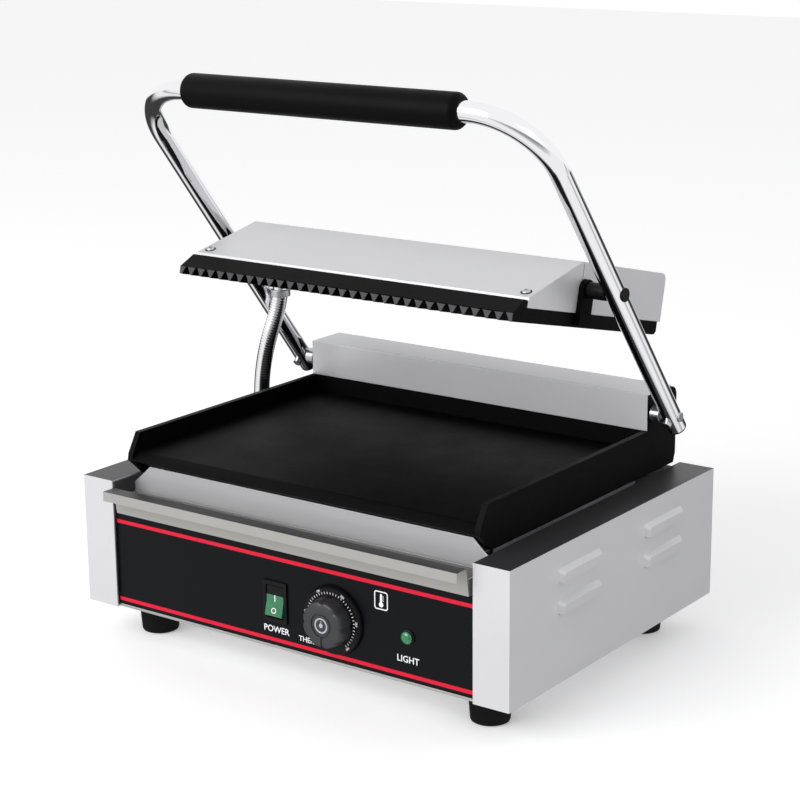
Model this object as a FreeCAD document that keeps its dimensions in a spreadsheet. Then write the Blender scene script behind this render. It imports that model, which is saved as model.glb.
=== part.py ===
"""Single contact grill (panini press) with a flat lower plate and a ribbed upper plate.

Frame: +X to the right, +Y to the rear, +Z up, millimetres.  The origin is on the ground, under the
middle of the grill's outline.  The grill stands open: the handle is raised to its stop and the upper
plate hangs from it, front edge up.
"""
import FreeCAD, Part
import math
import os
import re
import Sketcher
from FreeCAD import Placement, Rotation, Vector

doc = FreeCAD.newDocument("panini_press")
sheet = doc.addObject("Spreadsheet::Sheet", "dims")

DIMENSIONS = [
    # base
    ("half_width", 205, "outer side of a side housing"),
    ("housing_width", 31.1, "width of a side housing"),
    ("depth", 302, "front to rear of a side housing"),
    ("front_y", -150, "front face of the side housings"),
    ("base_low", 28, "height of the feet, underside of the base"),
    ("housing_high", 106.8, "height of a side housing"),
    ("sheet", 1.2, "stainless sheet"),
    ("foot_radius", 15, "foot at the ground"),
    ("foot_top", 17.5, "foot at the base"),
    ("foot_x", 163.4, "foot from the middle"),
    ("foot_front", 38.9, "front feet behind the front face"),
    ("foot_rear", 263.7, "rear feet behind the front face"),
    ("foot_hole", 2.6, "radius of a foot's fixing hole"),
    ("pan_set", 5, "base pan behind the front face"),
    ("pan_deep", 282, "depth of the base pan"),
    ("pan_high", 20, "height of the base pan's edges"),
    ("rear_set", 288, "rear sheet behind the front face"),
    ("cord_x", -120, "mains cable's gland"),
    ("cord_z", 62, "mains cable's gland"),
    ("cord_hole", 8, "radius of the gland's hole"),
    ("apron_set", 26.6, "apron behind the front face"),
    ("apron_top", 143, "top of the apron"),
    # front panel and controls
    ("panel_set", 3, "front panel behind the front face"),
    ("panel_top", 108.2, "top edge of the front panel"),
    ("strip_high", 2.4, "bare strip under the front panel"),
    ("switch_x", -9.4, "middle of the rocker switch"),
    ("switch_z", 66.2, "middle of the rocker switch"),
    ("switch_wide", 23, "width of the switch bezel"),
    ("switch_high", 33, "height of the switch bezel"),
    ("case_wide", 20, "width of the switch housing"),
    ("case_high", 28, "height of the switch housing"),
    ("rocker_y", 3, "rocker's pins behind the panel's face"),
    ("pin_radius", 1.5, "pins that the rocker turns on"),
    ("rocker_throw", 16, "turn of the rocker from one side to the other"),
    ("knob_x", 47, "thermostat axis"),
    ("knob_z", 64, "thermostat axis"),
    ("skirt_radius", 27.2, "graduated skirt of the knob"),
    ("knob_radius", 19.5, "grip of the knob"),
    ("lamp_x", 114.8, "pilot lamp axis"),
    ("lamp_z", 64.8, "pilot lamp axis"),
    ("lamp_radius", 6.2, "pilot lamp bezel"),
    # louvres
    ("louvre_front", 64, "front louvres behind the front face"),
    ("louvre_rear", 189, "rear louvres behind the front face"),
    ("louvre_low", 83, "open edge of the lower louvres"),
    ("louvre_pitch", 24.4, "height between two louvres"),
    ("louvre_long", 60.5, "length of a louvre at its open edge"),
    ("louvre_high", 10.6, "height of a louvre"),
    ("louvre_out", 4.2, "how far a louvre stands out"),
    ("louvre_end", 3.4, "slope of a louvre's ends and top"),
    # lower plate
    ("plate_half", 170, "outer side of the lower plate"),
    ("plate_front", 15, "drip lip behind the front face"),
    ("plate_rear", 262.3, "rear of the lower plate"),
    ("surface_z", 156, "cooking surface"),
    ("wall_top", 170.8, "top of the side and rear walls"),
    ("wall", 5, "thickness of the side walls"),
    ("skirt_low", 135, "underside of the lower plate's skirt"),
    ("cover_front", 254, "front of the rear cover behind the front face"),
    ("cover_deep", 39.3, "depth of the rear cover"),
    ("cover_half", 169.3, "half the length of the rear cover"),
    ("cover_top", 201.2, "top of the rear cover"),
    ("ear_thick", 8, "thickness of a hinge bracket"),
    ("ear_rear", 301, "rear of the hinge brackets behind the front face"),
    ("spring_radius", 6.2, "balance springs round the shaft"),
    ("spring_start", 20, "inner ends of the balance springs"),
    ("spring_long", 130, "length of a balance spring"),
    ("element_radius", 3.2, "sheathed elements"),
    ("element_z", 138.5, "lower element"),
    ("shield_z", 128, "heat shield under the lower element"),
    ("support_set", 46, "plate supports behind the front face"),
    ("support_long", 206, "length of a plate support"),
    # drip tray
    ("tray_half", 170.2, "half the length of the tray flange"),
    ("tray_front", -14.5, "front lip of the tray flange"),
    ("tray_top", 130.2, "top of the tray flange"),
    ("tray_low", 108.6, "underside of the tray"),
    ("tray_rear", 23.5, "rear wall of the tray"),
    # handle
    ("hinge_y", 262, "hinge axis behind the front face"),
    ("hinge_z", 185, "hinge axis"),
    ("open_angle", 51.34, "arms above the horizontal when open"),
    ("shaft_radius", 4, "hinge shaft"),
    ("arm_x", 187, "middle of an arm"),
    ("arm_long", 330.4, "hinge axis to grip axis"),
    ("arm_tail", 13, "arm behind the hinge axis"),
    ("tube_radius", 8, "handle tube"),
    ("tube_wall", 1.5, "wall of the handle tube"),
    ("bend_radius", 54, "middle line of the handle's bends"),
    ("grip_half", 127.5, "half the length of the grip"),
    ("grip_radius", 13.5, "radius of the grip"),
    ("pivot_along", 147, "hinge axis to the upper plate's pivot"),
    ("pivot_radius", 4, "pivot bolt"),
    ("bolt_inner", 159.8, "inner end of the pivot bolts"),
    ("boss_start", 164.5, "inner end of the pivot bolts' spacers"),
    ("boss_radius", 6.4, "pivot bolt's spacer between lug and arm"),
    ("cap_radius", 5.4, "pivot bolt's cap"),
    ("cap_proud", 1.2, "pivot bolt's cap outside the arm"),
    ("shaft_proud", 0.6, "hinge shaft's ends outside the arms"),
    # upper plate, measured in its own frame: along from its front edge, up from its rib tips
    ("tilt", 13.4, "upper plate's front up when open"),
    ("top_half", 159, "half the width of the upper plate"),
    ("top_deep", 217.4, "depth of the upper plate"),
    ("top_thick", 11, "rib tips to the top of the casting"),
    ("rib_deep", 6, "depth of a groove"),
    ("rib_count", 31, "grooves"),
    ("ramp", 0.75, "rise of the upper plate's front bevel"),
    ("lid_half", 159.6, "half the width of the upper cover"),
    ("lid_front", 14, "front edge of the upper cover"),
    ("lid_front_up", 17, "front edge of the upper cover above the rib tips"),
    ("lid_ridge", 87.3, "ridge of the upper cover"),
    ("lid_rear", 221, "rear of the upper cover"),
    ("lid_seam", 1, "gap between the upper cover's two sheets"),
    ("lid_up", 50, "top of the upper cover above the rib tips"),
    ("pivot_s", 94, "pivot behind the front edge"),
    ("pivot_up", 29.3, "pivot above the rib tips"),
    ("lug_out", 164.2, "outer side of a lug"),
    ("lug_half", 8, "half the width of a lug"),
    # conduit
    ("hose_radius", 7, "flexible conduit"),
    ("gland_set", 205, "conduit's gland behind the front face"),
    ("hose_x", -170, "conduit where it runs beside the arm"),
    ("elbow_radius", 8.4, "conduit's elbow"),
    ("clip_along", 84, "hinge axis to the conduit's clip, along the arm"),
    ("elbow_s", 130, "conduit's elbow behind the upper plate's front edge"),
    ("elbow_up", 40, "conduit's elbow above the rib tips"),
    ("elbow_drop", 8.6, "elbow axis to the elbow's mouth"),
    ("elbow_turn", 23, "elbow's mouth turned to the rear"),
    ("slip", 0.05, "clearance of a pin in its bore"),
]

for row, (alias, value, note) in enumerate(DIMENSIONS, start=1):
    sheet.set("A%d" % row, note)
    sheet.set("B%d" % row, str(value))
    sheet.setAlias("B%d" % row, alias)
doc.recompute()
SIZE = {alias: float(value) for alias, value, _ in DIMENSIONS}

FIXED = {"x": 0, "y": 0, "z": 0, "turn": 0}
PIVOT_Y = "(front_y + hinge_y - pivot_along * cos(open_angle))"
PIVOT_Z = "(hinge_z + pivot_along * sin(open_angle))"
HANDLE = {"x": 0, "y": "(front_y + hinge_y)", "z": "hinge_z", "turn": "open_angle"}
UPPER = {
    "x": 0,
    "y": PIVOT_Y + " - pivot_s * cos(tilt) - pivot_up * sin(tilt)",
    "z": PIVOT_Z + " + pivot_s * sin(tilt) - pivot_up * cos(tilt)",
    "turn": "tilt",
}
TURN_TO = {"x": Rotation(Vector(0, 1, 0), 90), "y": Rotation(Vector(1, 0, 0), -90), "z": Rotation()}
SIDES = (("left", -1), ("right", 1))
parts = []


def linked(formula):
    """The formula with each dimension's name pointing at its cell."""
    return re.sub(r"[a-z]\w*", lambda word: ("dims." if word.group() in SIZE else "") + word.group(),
                  str(formula))


def number(formula):
    """The formula's present value, for shapes that can't hold an expression."""
    return float(sheet.evalExpression(linked(formula)))


def bind(thing, **formulas):
    for name, formula in formulas.items():
        thing.setExpression(name.replace("__", "."), linked(formula))
    return thing


def in_frame(thing, frame):
    """Stand a piece, drawn in the handle's or the upper plate's own frame, where that frame is."""
    if frame is FIXED:
        return thing
    angle = number(frame["turn"])
    thing.Placement = Placement(Vector(), Rotation(Vector(1, 0, 0), -angle))
    return bind(thing, Placement__Base__x=frame["x"], Placement__Base__y=frame["y"],
                Placement__Base__z=frame["z"], Placement__Rotation__Angle="-(%s)" % frame["turn"])


def keep(thing, label):
    """Name a finished sub-part; its label names its file."""
    thing.Label = label
    parts.append(thing)
    return thing


def box(start, size):
    block = doc.addObject("Part::Box", "block")
    return bind(block, Placement__Base__x=start[0], Placement__Base__y=start[1], Placement__Base__z=start[2],
                Length=size[0], Width=size[1], Height=size[2])


def rod(start, radius, length, axis):
    """A cylinder from start along an axis."""
    cylinder = doc.addObject("Part::Cylinder", "rod")
    cylinder.Placement = Placement(Vector(), TURN_TO[axis])
    return bind(cylinder, Placement__Base__x=start[0], Placement__Base__y=start[1],
                Placement__Base__z=start[2], Radius=radius, Height=length)


def cone(start, first, second, length, axis):
    """A cone from start along an axis, from the first radius to the second."""
    taper = doc.addObject("Part::Cone", "taper")
    taper.Placement = Placement(Vector(), TURN_TO[axis])
    return bind(taper, Placement__Base__x=start[0], Placement__Base__y=start[1],
                Placement__Base__z=start[2], Radius1=first, Radius2=second, Height=length)


def fuse(*shapes):
    joined = doc.addObject("Part::MultiFuse", "joined")
    joined.Shapes = list(shapes)
    joined.Refine = True
    return joined


def cut(base, *tools):
    left = doc.addObject("Part::Cut", "left")
    left.Base = base
    left.Tool = tools[0] if len(tools) == 1 else fuse(*tools)
    return left


def common(first, second):
    shared = doc.addObject("Part::Common", "shared")
    shared.Base = first
    shared.Tool = second
    return shared


def draw(body, plane, points):
    """A closed outline on one of the body's own planes, each corner tied to the sheet."""
    sketch = body.newObject("Sketcher::SketchObject", "outline")
    origin = [item for item in body.Origin.OriginFeatures if item.Role == plane][0]
    sketch.AttachmentSupport = [(origin, "")]
    sketch.MapMode = "FlatFace"
    corners = [Vector(number(first), number(second), 0) for first, second in points]
    for index, corner in enumerate(corners):
        sketch.addGeometry(Part.LineSegment(corner, corners[(index + 1) % len(corners)]))
    for index in range(len(corners)):
        sketch.addConstraint(Sketcher.Constraint("Coincident", index, 2, (index + 1) % len(corners), 1))
    for index, corner in enumerate(corners):
        for kind, value, formula in (("DistanceX", corner.x, points[index][0]),
                                     ("DistanceY", corner.y, points[index][1])):
            place = sketch.addConstraint(Sketcher.Constraint(kind, -1, 1, index, 1, value))
            sketch.setExpression("Constraints[%d]" % place, linked(formula))
    return sketch


def pad(points, length, plane="YZ_Plane"):
    """A new body: an outline padded equally to both sides of its plane."""
    body = doc.addObject("PartDesign::Body", "body")
    feature = body.newObject("PartDesign::Pad", "pad")
    feature.Profile = draw(body, plane, points)
    feature.Midplane = True
    bind(feature, Length=length)
    doc.recompute()
    return body


def pocket(body, points, length, plane="YZ_Plane"):
    """Cut an outline out of a body, equally to both sides of its plane."""
    before = body.Shape.Volume
    feature = body.newObject("PartDesign::Pocket", "pocket")
    feature.Profile = draw(body, plane, points)
    feature.Midplane = True
    bind(feature, Length=length)
    doc.recompute()
    if body.Shape.Volume >= before:
        raise RuntimeError("a pocket cut nothing")
    return body


def fillet(body, radius, wanted):
    """Round the edges of a body whose middle passes the test."""
    base = body.Tip
    edges = []
    for index, edge in enumerate(body.Shape.Edges, start=1):
        middle = edge.valueAt((edge.FirstParameter + edge.LastParameter) / 2)
        if wanted(middle, edge):
            edges.append("Edge%d" % index)
    feature = body.newObject("PartDesign::Fillet", "rounding")
    feature.Base = (base, edges)
    feature.Radius = radius
    doc.recompute()
    return body


def along(edge, axis):
    """Whether a straight edge runs along an axis."""
    return edge.Curve.TypeId == "Part::GeomLine" and abs(edge.tangentAt(edge.FirstParameter).dot(axis)) > 0.999


def route_wire(points, share=0.45):
    """Straight runs joined by tangent arcs, each as large as its shorter run allows."""
    edges = []
    start = points[0]
    radii = []
    for before, corner, after in zip(points, points[1:], points[2:]):
        back = (before - corner).normalize()
        ahead = (after - corner).normalize()
        reach = share * min((before - corner).Length, (after - corner).Length)
        half_turn = (math.pi - back.getAngle(ahead)) / 2
        radius = reach / math.tan(half_turn)
        first = corner + back * reach
        last = corner + ahead * reach
        to_middle = (back + ahead).normalize()
        middle = corner + to_middle * (radius / math.cos(half_turn) - radius)
        edges.append(Part.LineSegment(start, first).toShape())
        edges.append(Part.Arc(first, middle, last).toShape())
        start = last
        radii.append(round(radius, 1))
    edges.append(Part.LineSegment(start, points[-1]).toShape())
    return Part.Wire(edges), radii


def tube(label, route, radius, frame=FIXED):
    """A round bar along a route of (x, y, z) formulas."""
    points = [Vector(*[number(value) for value in point]) for point in route]
    wire, radii = route_wire(points)
    section = Part.Wire([Part.makeCircle(number(radius), points[0], points[1] - points[0])])
    solid = wire.makePipeShell([section], True, False)
    expected = math.pi * number(radius) ** 2 * wire.Length
    if abs(solid.Volume / expected - 1) > 0.01:
        raise RuntimeError("%s: the tube's volume is wrong" % label)
    print(label, "length %.0f, arc radii" % wire.Length, radii)
    piece = doc.addObject("Part::Feature", "tube")
    piece.Shape = solid
    in_frame(piece, frame)
    return keep(piece, label)


# ---------------------------------------------------------------- base: sheet metal

INNER = "(half_width - housing_width)"
BAY = "(%s - 0.2)" % INNER


def base_pan():
    """Open pan between the housings, with upturned edges and a hole over each foot."""
    outer = box(("-" + BAY, "front_y + pan_set", "base_low"), ("2 * " + BAY, "pan_deep", "pan_high"))
    inside = box(("-%s + sheet" % BAY, "front_y + pan_set + sheet", "base_low + sheet"),
                 ("2 * %s - 2 * sheet" % BAY, "pan_deep - 2 * sheet", "pan_high"))
    holes = [rod(("%d * foot_x" % side, "front_y + " + y, "base_low - 1"), "foot_hole", "sheet + 2", "z")
             for _, side in SIDES for y in ("foot_front", "foot_rear")]
    keep(cut(outer, inside, *holes), "base_pan")


def hood(side, y, z, inset, corner):
    """A pressed-out hood, open below: its ends and top slope up to a flat face, its corners are rounded.

    inset makes the hollow inside it, and corner is the rounding of its two upper corners."""
    block = doc.addObject("Part::Wedge", "hood")
    block.Placement = Placement(Vector(), Rotation(Vector(0, 0, 1), -90 * side))
    root = "-(sheet + 0.1)" if inset else "-sheet / 2"
    grown = "(%s)" % inset if inset else "0"
    bind(block, Placement__Base__x="%d * half_width" % side,
         Placement__Base__y=y + (" + louvre_long" if side > 0 else ""), Placement__Base__z=z,
         Ymin=root, Ymax="louvre_out - " + grown, Xmin=grown, Xmax="louvre_long - " + grown,
         X2min="louvre_end + " + grown, X2max="louvre_long - louvre_end - " + grown,
         Zmin="-" + grown, Zmax="louvre_high - " + grown, Z2min="-" + grown,
         Z2max="louvre_high - louvre_end - " + grown)
    doc.recompute()
    rising = []
    for index, edge in enumerate(block.Shape.Edges, start=1):
        run = edge.tangentAt(edge.FirstParameter)
        if min(abs(run.x), abs(run.y), abs(run.z)) > 0.1:
            rising.append((index, corner, corner))
    rounding = doc.addObject("Part::Fillet", "rounding")
    rounding.Base = block
    rounding.Edges = rising
    return rounding


def housing(label, side):
    """Side housing: a folded box, open towards the middle, with four louvres in its outer wall."""
    inner_x = INNER if side > 0 else "-half_width"
    outer = box((inner_x, "front_y", "base_low"), ("housing_width", "depth", "housing_high"))
    hollow_x = INNER + " - 1" if side > 0 else "-half_width + sheet"
    hollow = box((hollow_x, "front_y + sheet", "base_low + sheet"),
                 ("housing_width - sheet + 1", "depth - 2 * sheet", "housing_high - 2 * sheet"))
    places = [("front_y + " + y, "louvre_low + %d * louvre_pitch" % row)
              for y in ("louvre_front", "louvre_rear") for row in (0, 1)]
    hoods = [hood(side, y, z, "", 4) for y, z in places]
    hollows = [hood(side, y, z, "sheet", 2.8) for y, z in places]
    keep(cut(fuse(cut(outer, hollow), *hoods), *hollows), label)


def front_panel():
    """Control panel with its three openings, above a bare folded edge."""
    plate = box(("-" + BAY, "front_y + panel_set", "base_low + strip_high"),
                ("2 * " + BAY, "sheet", "panel_top - base_low - strip_high"))
    switch = box(("switch_x - case_wide / 2 - 0.2", "front_y + panel_set - 1", "switch_z - case_high / 2 - 0.2"),
                 ("case_wide + 0.4", "sheet + 2", "case_high + 0.4"))
    shaft = rod(("knob_x", "front_y + panel_set - 1", "knob_z"), 5, "sheet + 2", "y")
    lamp = rod(("lamp_x", "front_y + panel_set - 1", "lamp_z"), 5.2, "sheet + 2", "y")
    keep(cut(plate, switch, shaft, lamp), "front_panel")
    keep(box(("-" + BAY, "front_y + panel_set", "base_low"), ("2 * " + BAY, "sheet", "strip_high")),
         "front_edge_strip")


def rear_panel():
    """Rear sheet with the mains gland's hole."""
    plate = box(("-" + BAY, "front_y + rear_set", "base_low"), ("2 * " + BAY, "sheet", "housing_high"))
    hole = rod(("cord_x", "front_y + rear_set - 1", "cord_z"), "cord_hole", "sheet + 2", "y")
    keep(cut(plate, hole), "rear_panel")


def apron():
    """Stainless sheet behind the drip tray: a shelf for the tray, then up under the plate's lip."""
    shoulder = "apron_top - 8.4"
    ear = BAY + " - 17"
    upright = pad([("-" + BAY, "panel_top - sheet"), (BAY, "panel_top - sheet"), (BAY, "apron_top - 15"),
                   (BAY + " - 8", shoulder), (ear, "apron_top"), ("-(%s)" % ear, "apron_top"),
                   ("-(%s - 8)" % BAY, shoulder), ("-" + BAY, "apron_top - 15")], "sheet", "XZ_Plane")
    bind(upright, Placement__Base__y="front_y + apron_set")
    shelf = box(("-" + BAY, "front_y + panel_set + sheet + 0.1", "panel_top - sheet"),
                ("2 * " + BAY, "apron_set - panel_set - sheet - 0.2", "sheet"))
    keep(fuse(upright, shelf), "front_apron")


def foot(label, side, y):
    """Rubber foot, wider at the top, with its screw's hole and a recess for the screw's head."""
    x = "%d * foot_x" % side
    y = "front_y + " + y
    rubber = cone((x, y, 0), "foot_radius", "foot_top", "base_low", "z")
    hole = rod((x, y, -1), "foot_hole", "base_low + 2", "z")
    recess = rod((x, y, -1), 6, 13, "z")
    keep(cut(rubber, hole, recess), label)
    head = rod((x, y, 8.5), 4.6, 3.5, "z")
    shank = rod((x, y, 12), "foot_hole - 0.1", "base_low + sheet + 3 - 12", "z")
    nut = rod((x, y, "base_low + sheet"), 4.5, 4, "z")
    keep(fuse(head, shank, nut), label.replace("foot", "foot_screw"))


# ---------------------------------------------------------------- base: controls

def rocker_switch():
    """Switch housing with its bezel; the rocker turns in its well."""
    bezel = box(("switch_x - switch_wide / 2", "front_y + panel_set - 1.6", "switch_z - switch_high / 2"),
                ("switch_wide", 1.6, "switch_high"))
    case = box(("switch_x - case_wide / 2", "front_y + panel_set - 0.1", "switch_z - case_high / 2"),
               ("case_wide", 24, "case_high"))
    well = box(("switch_x - 8.6", "front_y + panel_set - 2", "switch_z - 13.2"), (17.2, 12, 26.4))
    pins_y = "front_y + panel_set + rocker_y"
    sockets = rod(("switch_x - 9.5", pins_y, "switch_z"), "pin_radius + slip", 19, "x")
    keep(cut(fuse(bezel, case), well, sockets), "switch_body")
    face = pad([(-5.4, -11.7), (-4.2, 0), (-5.4, 11.7), (-2, 12.6), (3, 9), (3, -9), (-2, -12.6)], 16.6)
    rocker = fuse(face, rod((-9.2, 0, 0), "pin_radius", 18.4, "x"))
    rocker.Placement = Placement(Vector(), Rotation(Vector(1, 0, 0), -1))
    bind(rocker, Placement__Base__x="switch_x", Placement__Base__y=pins_y, Placement__Base__z="switch_z",
         Placement__Rotation__Angle="-rocker_throw / 2")
    keep(rocker, "rocker")


def thermostat():
    """Thermostat behind the panel; its knob is a graduated skirt, a grip with a cap, and the shaft."""
    at = ("knob_x", "front_y + panel_set", "knob_z")
    case = rod((at[0], at[1] + " + sheet + 2.4", at[2]), 21, 26, "y")
    neck = rod((at[0], at[1] + " + sheet", at[2]), 7, 2.5, "y")
    bore = rod((at[0], at[1], at[2]), 3.05, 16, "y")
    keep(cut(fuse(case, neck), bore), "thermostat_body")
    keep(rod((at[0], at[1] + " - 6", at[2]), 3, 20, "y"), "thermostat_shaft")
    skirt = cone((at[0], at[1] + " - 4.6", at[2]), "skirt_radius - 1.6", "skirt_radius", 4, "y")
    hole = rod((at[0], at[1] + " - 8", at[2]), "3 + slip", 10, "y")
    keep(cut(skirt, hole), "knob_skirt")
    grip = cone((at[0], at[1] + " - 16.4", at[2]), "knob_radius - 1.5", "knob_radius", 11.8, "y")
    socket = rod((at[0], at[1] + " - 6 - slip", at[2]), "3 + slip", 3, "y")
    keep(cut(grip, socket), "knob_grip")


def pilot_lamp():
    at = ("lamp_x", "front_y + panel_set", "lamp_z")
    lens = cone((at[0], at[1] + " - 4", at[2]), "lamp_radius - 2.2", "lamp_radius - 1.2", 4, "y")
    flange = rod((at[0], at[1] + " - 1.4", at[2]), "lamp_radius", 1.4, "y")
    keep(fuse(lens, flange), "lamp_lens")
    keep(rod((at[0], at[1], at[2]), 5, 24, "y"), "lamp_body")


def wiring():
    """Terminal block on the pan, the sensing bulb under the plate and the mains cable's gland."""
    keep(box((60, "front_y + 215", "base_low + sheet"), (62, 20, 18)), "terminal_block")
    keep(rod((-45, "front_y + 142.6", 140.8), 3, 90, "x"), "sensing_bulb")
    outside = "front_y + rear_set + sheet"
    flange = rod(("cord_x", outside, "cord_z"), 12, 5, "y")
    neck = cone(("cord_x", outside + " + 5", "cord_z"), 9.5, 5.6, 20.3, "y")
    thread = rod(("cord_x", outside + " - 7.2", "cord_z"), "cord_hole - 0.2", 8, "y")
    bore = rod(("cord_x", outside + " - 8.2", "cord_z"), 3.7, 36, "y")
    keep(cut(fuse(flange, neck, thread), bore), "cable_gland")


# ---------------------------------------------------------------- base: lower plate

def lower_plate():
    """Flat cast plate: drip lip in front, low walls at the sides and rear, a skirt underneath."""
    front = "front_y + plate_front"
    rear = "front_y + plate_rear"
    plate = pad([(front, 149.5), (front + " + 1", 154.8), (front + " + 10.3", "wall_top"), (rear, "wall_top"),
                 (rear, "skirt_low"), (front + " + 15.7", "skirt_low")], "2 * plate_half")
    inside = "2 * (plate_half - wall)"
    pocket(plate, [(front + " - 5", 190), (front + " - 5", 150.4), (front + " + 0.3", 150.4),
                   (front + " + 7", 155.4), (front + " + 9", "surface_z"),
                   ("front_y + cover_front", "surface_z"), ("front_y + cover_front", 190)], inside)
    pocket(plate, [(front + " - 5", 120), (front + " - 5", 149.3), (front + " - 0.1", 149.3),
                   (front + " + 8", 145.4), (front + " + 13", 144), ("front_y + cover_front + 2", 144),
                   ("front_y + cover_front + 2", 120)], inside)
    keep(plate, "lower_plate")


def hinge_bracket(label, side):
    """Cast ear behind the plate's rear wall, carrying the hinge shaft."""
    front = "front_y + cover_front + 1.5"
    rear = "front_y + ear_rear"
    ear = pad([(front, "wall_top + 0.1"), (front, "cover_top - 1.5"), (rear, "cover_top - 1.5"), (rear, 143),
               (rear + " - 3", "skirt_low"), ("front_y + plate_rear", "skirt_low"),
               ("front_y + plate_rear", "wall_top + 0.1")], "ear_thick")
    fillet(ear, 8, lambda at, edge: along(edge, Vector(1, 0, 0)) and at.y > number(rear) - 1 and at.z > 190)
    bind(ear, Placement__Base__x="%d * (plate_half - ear_thick / 2)" % side)
    bore = rod(("-(plate_half + 1)", "front_y + hinge_y", "hinge_z"), "shaft_radius + 0.05",
               "2 * plate_half + 2", "x")
    keep(cut(ear, bore), label)


def rear_cover():
    """Stainless channel over the hinge shaft and its springs; its rear sheet fits between the ears."""
    start = "front_y + cover_front"
    outer = box(("-cover_half", start, 171), ("2 * cover_half", "cover_deep", "cover_top - 171"))
    inside = box(("-cover_half - 1", start + " + sheet", 160),
                 ("2 * cover_half + 2", "cover_deep - 2 * sheet", "cover_top - 160 - sheet"))
    ends = [box(("%s" % x, start + " + 20", 160), (9.5, "cover_deep", "cover_top - 160 - sheet"))
            for x in ("-cover_half - 1.5", "cover_half - 8")]
    keep(cut(outer, inside, *ends), "rear_cover")


def lower_heating():
    """Sheathed element under the plate, the shield below it and the angles that carry the plate."""
    level = "element_z"
    route = [(-120, "front_y + 240", level), (-120, "front_y + 60", level), (-70, "front_y + 60", level),
             (-70, "front_y + 226", level), (-20, "front_y + 226", level), (-20, "front_y + 158", level),
             (20, "front_y + 158", level), (20, "front_y + 226", level), (70, "front_y + 226", level),
             (70, "front_y + 60", level), (120, "front_y + 60", level), (120, "front_y + 240", level)]
    tube("lower_element", route, "element_radius")
    keep(box((-158, "front_y + 34", "shield_z"), (316, 220, "sheet")), "heat_shield")
    for name, side in SIDES:
        x = "160" if side > 0 else "-160 - sheet"
        keep(box((x, "front_y + support_set", "base_low + sheet"),
                 ("sheet", "support_long", "144 - base_low - sheet")), "plate_support_" + name)


def spring(label, side):
    """Counterbalance spring round the hinge shaft, as a plain sleeve of its coils' size."""
    start = "spring_start" if side > 0 else "-(spring_start + spring_long)"
    coils = rod((start, "front_y + hinge_y", "hinge_z"), "spring_radius", "spring_long", "x")
    bore = rod((start + " - 1", "front_y + hinge_y", "hinge_z"), "shaft_radius + 0.5", "spring_long + 2", "x")
    keep(cut(coils, bore), label)


# ---------------------------------------------------------------- drip tray

def drip_tray():
    """Gutter across the front, with a rolled flange as its handle."""
    rear = "front_y + tray_rear"
    tray = pad([("front_y + tray_front", "tray_top - 7.8"), ("front_y + tray_front", "tray_top"),
                ("front_y - 2.2", "tray_top"), ("front_y - 0.6", "tray_top - 2"),
                ("front_y + 1.8", "tray_low + sheet"),
                (rear + " - sheet", "tray_low + sheet"), (rear + " - sheet", "tray_low + 13"),
                (rear, "tray_low + 13"), (rear, "tray_low"), ("front_y + 0.4", "tray_low"),
                ("front_y - 2.4", "tray_top - 3"), ("front_y - 4", "tray_top - sheet"),
                ("front_y + tray_front + sheet", "tray_top - sheet"),
                ("front_y + tray_front + sheet", "tray_top - 7.8")], "2 * tray_half")
    caps = [box((x, "front_y + 0.4", "tray_low"), ("sheet", "tray_rear - 0.4", 13))
            for x in ("-tray_half", "tray_half - sheet")]
    keep(fuse(tray, *caps), "drip_tray")


# ---------------------------------------------------------------- handle, drawn flat: arms towards -Y

def handle_wire():
    x, far, bend = number("arm_x"), -number("arm_long"), number("bend_radius")
    tail = number("arm_tail")
    inset = bend * (1 - math.sqrt(0.5))
    right = [Part.LineSegment(Vector(x, tail, 0), Vector(x, far + bend, 0)),
             Part.Arc(Vector(x, far + bend, 0), Vector(x - inset, far + inset, 0), Vector(x - bend, far, 0))]
    left = [Part.Arc(Vector(bend - x, far, 0), Vector(inset - x, far + inset, 0), Vector(-x, far + bend, 0)),
            Part.LineSegment(Vector(-x, far + bend, 0), Vector(-x, tail, 0))]
    middle = [Part.LineSegment(Vector(x - bend, far, 0), Vector(bend - x, far, 0))]
    return Part.Wire([curve.toShape() for curve in right + middle + left])


def handle_tube():
    """Chromed tube bent to a U, drilled for the hinge shaft and the pivot bolts."""
    wire = handle_wire()
    start = Vector(number("arm_x"), number("arm_tail"), 0)
    pipes = []
    for radius in (number("tube_radius"), number("tube_radius - tube_wall")):
        section = Part.Wire([Part.makeCircle(radius, start, Vector(0, -1, 0))])
        pipes.append(wire.makePipeShell([section], True, False))
    solid = pipes[0].cut(pipes[1])
    reach = number("arm_x + tube_radius + 1")
    shaft = Part.makeCylinder(number("shaft_radius + slip"), 2 * reach, Vector(-reach, 0, 0), Vector(1, 0, 0))
    bolt = Part.makeCylinder(number("pivot_radius + slip"), 2 * reach, Vector(-reach, -number("pivot_along"), 0),
                             Vector(1, 0, 0))
    drills = [shaft, bolt]
    for _, side in SIDES:
        out = Vector(side, 0, 0)
        at = Vector(side * reach, -number("pivot_along"), 0)
        drills.append(Part.makeCylinder(number("cap_radius + slip"), number("2.2 + slip"), at, -out))
        drills.append(Part.makeCylinder(number("boss_radius + slip"), 10,
                                        at - out * (reach - number("arm_x - tube_radius + 1 + slip")), -out))
        drills.append(Part.makeCylinder(1.8, 10, Vector(side * number("arm_x"), 0, -12), Vector(0, 0, 1)))
    piece = doc.addObject("Part::Feature", "handle")
    piece.Shape = solid.cut(drills).Solids[0]
    keep(in_frame(piece, HANDLE), "handle_tube")


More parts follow.
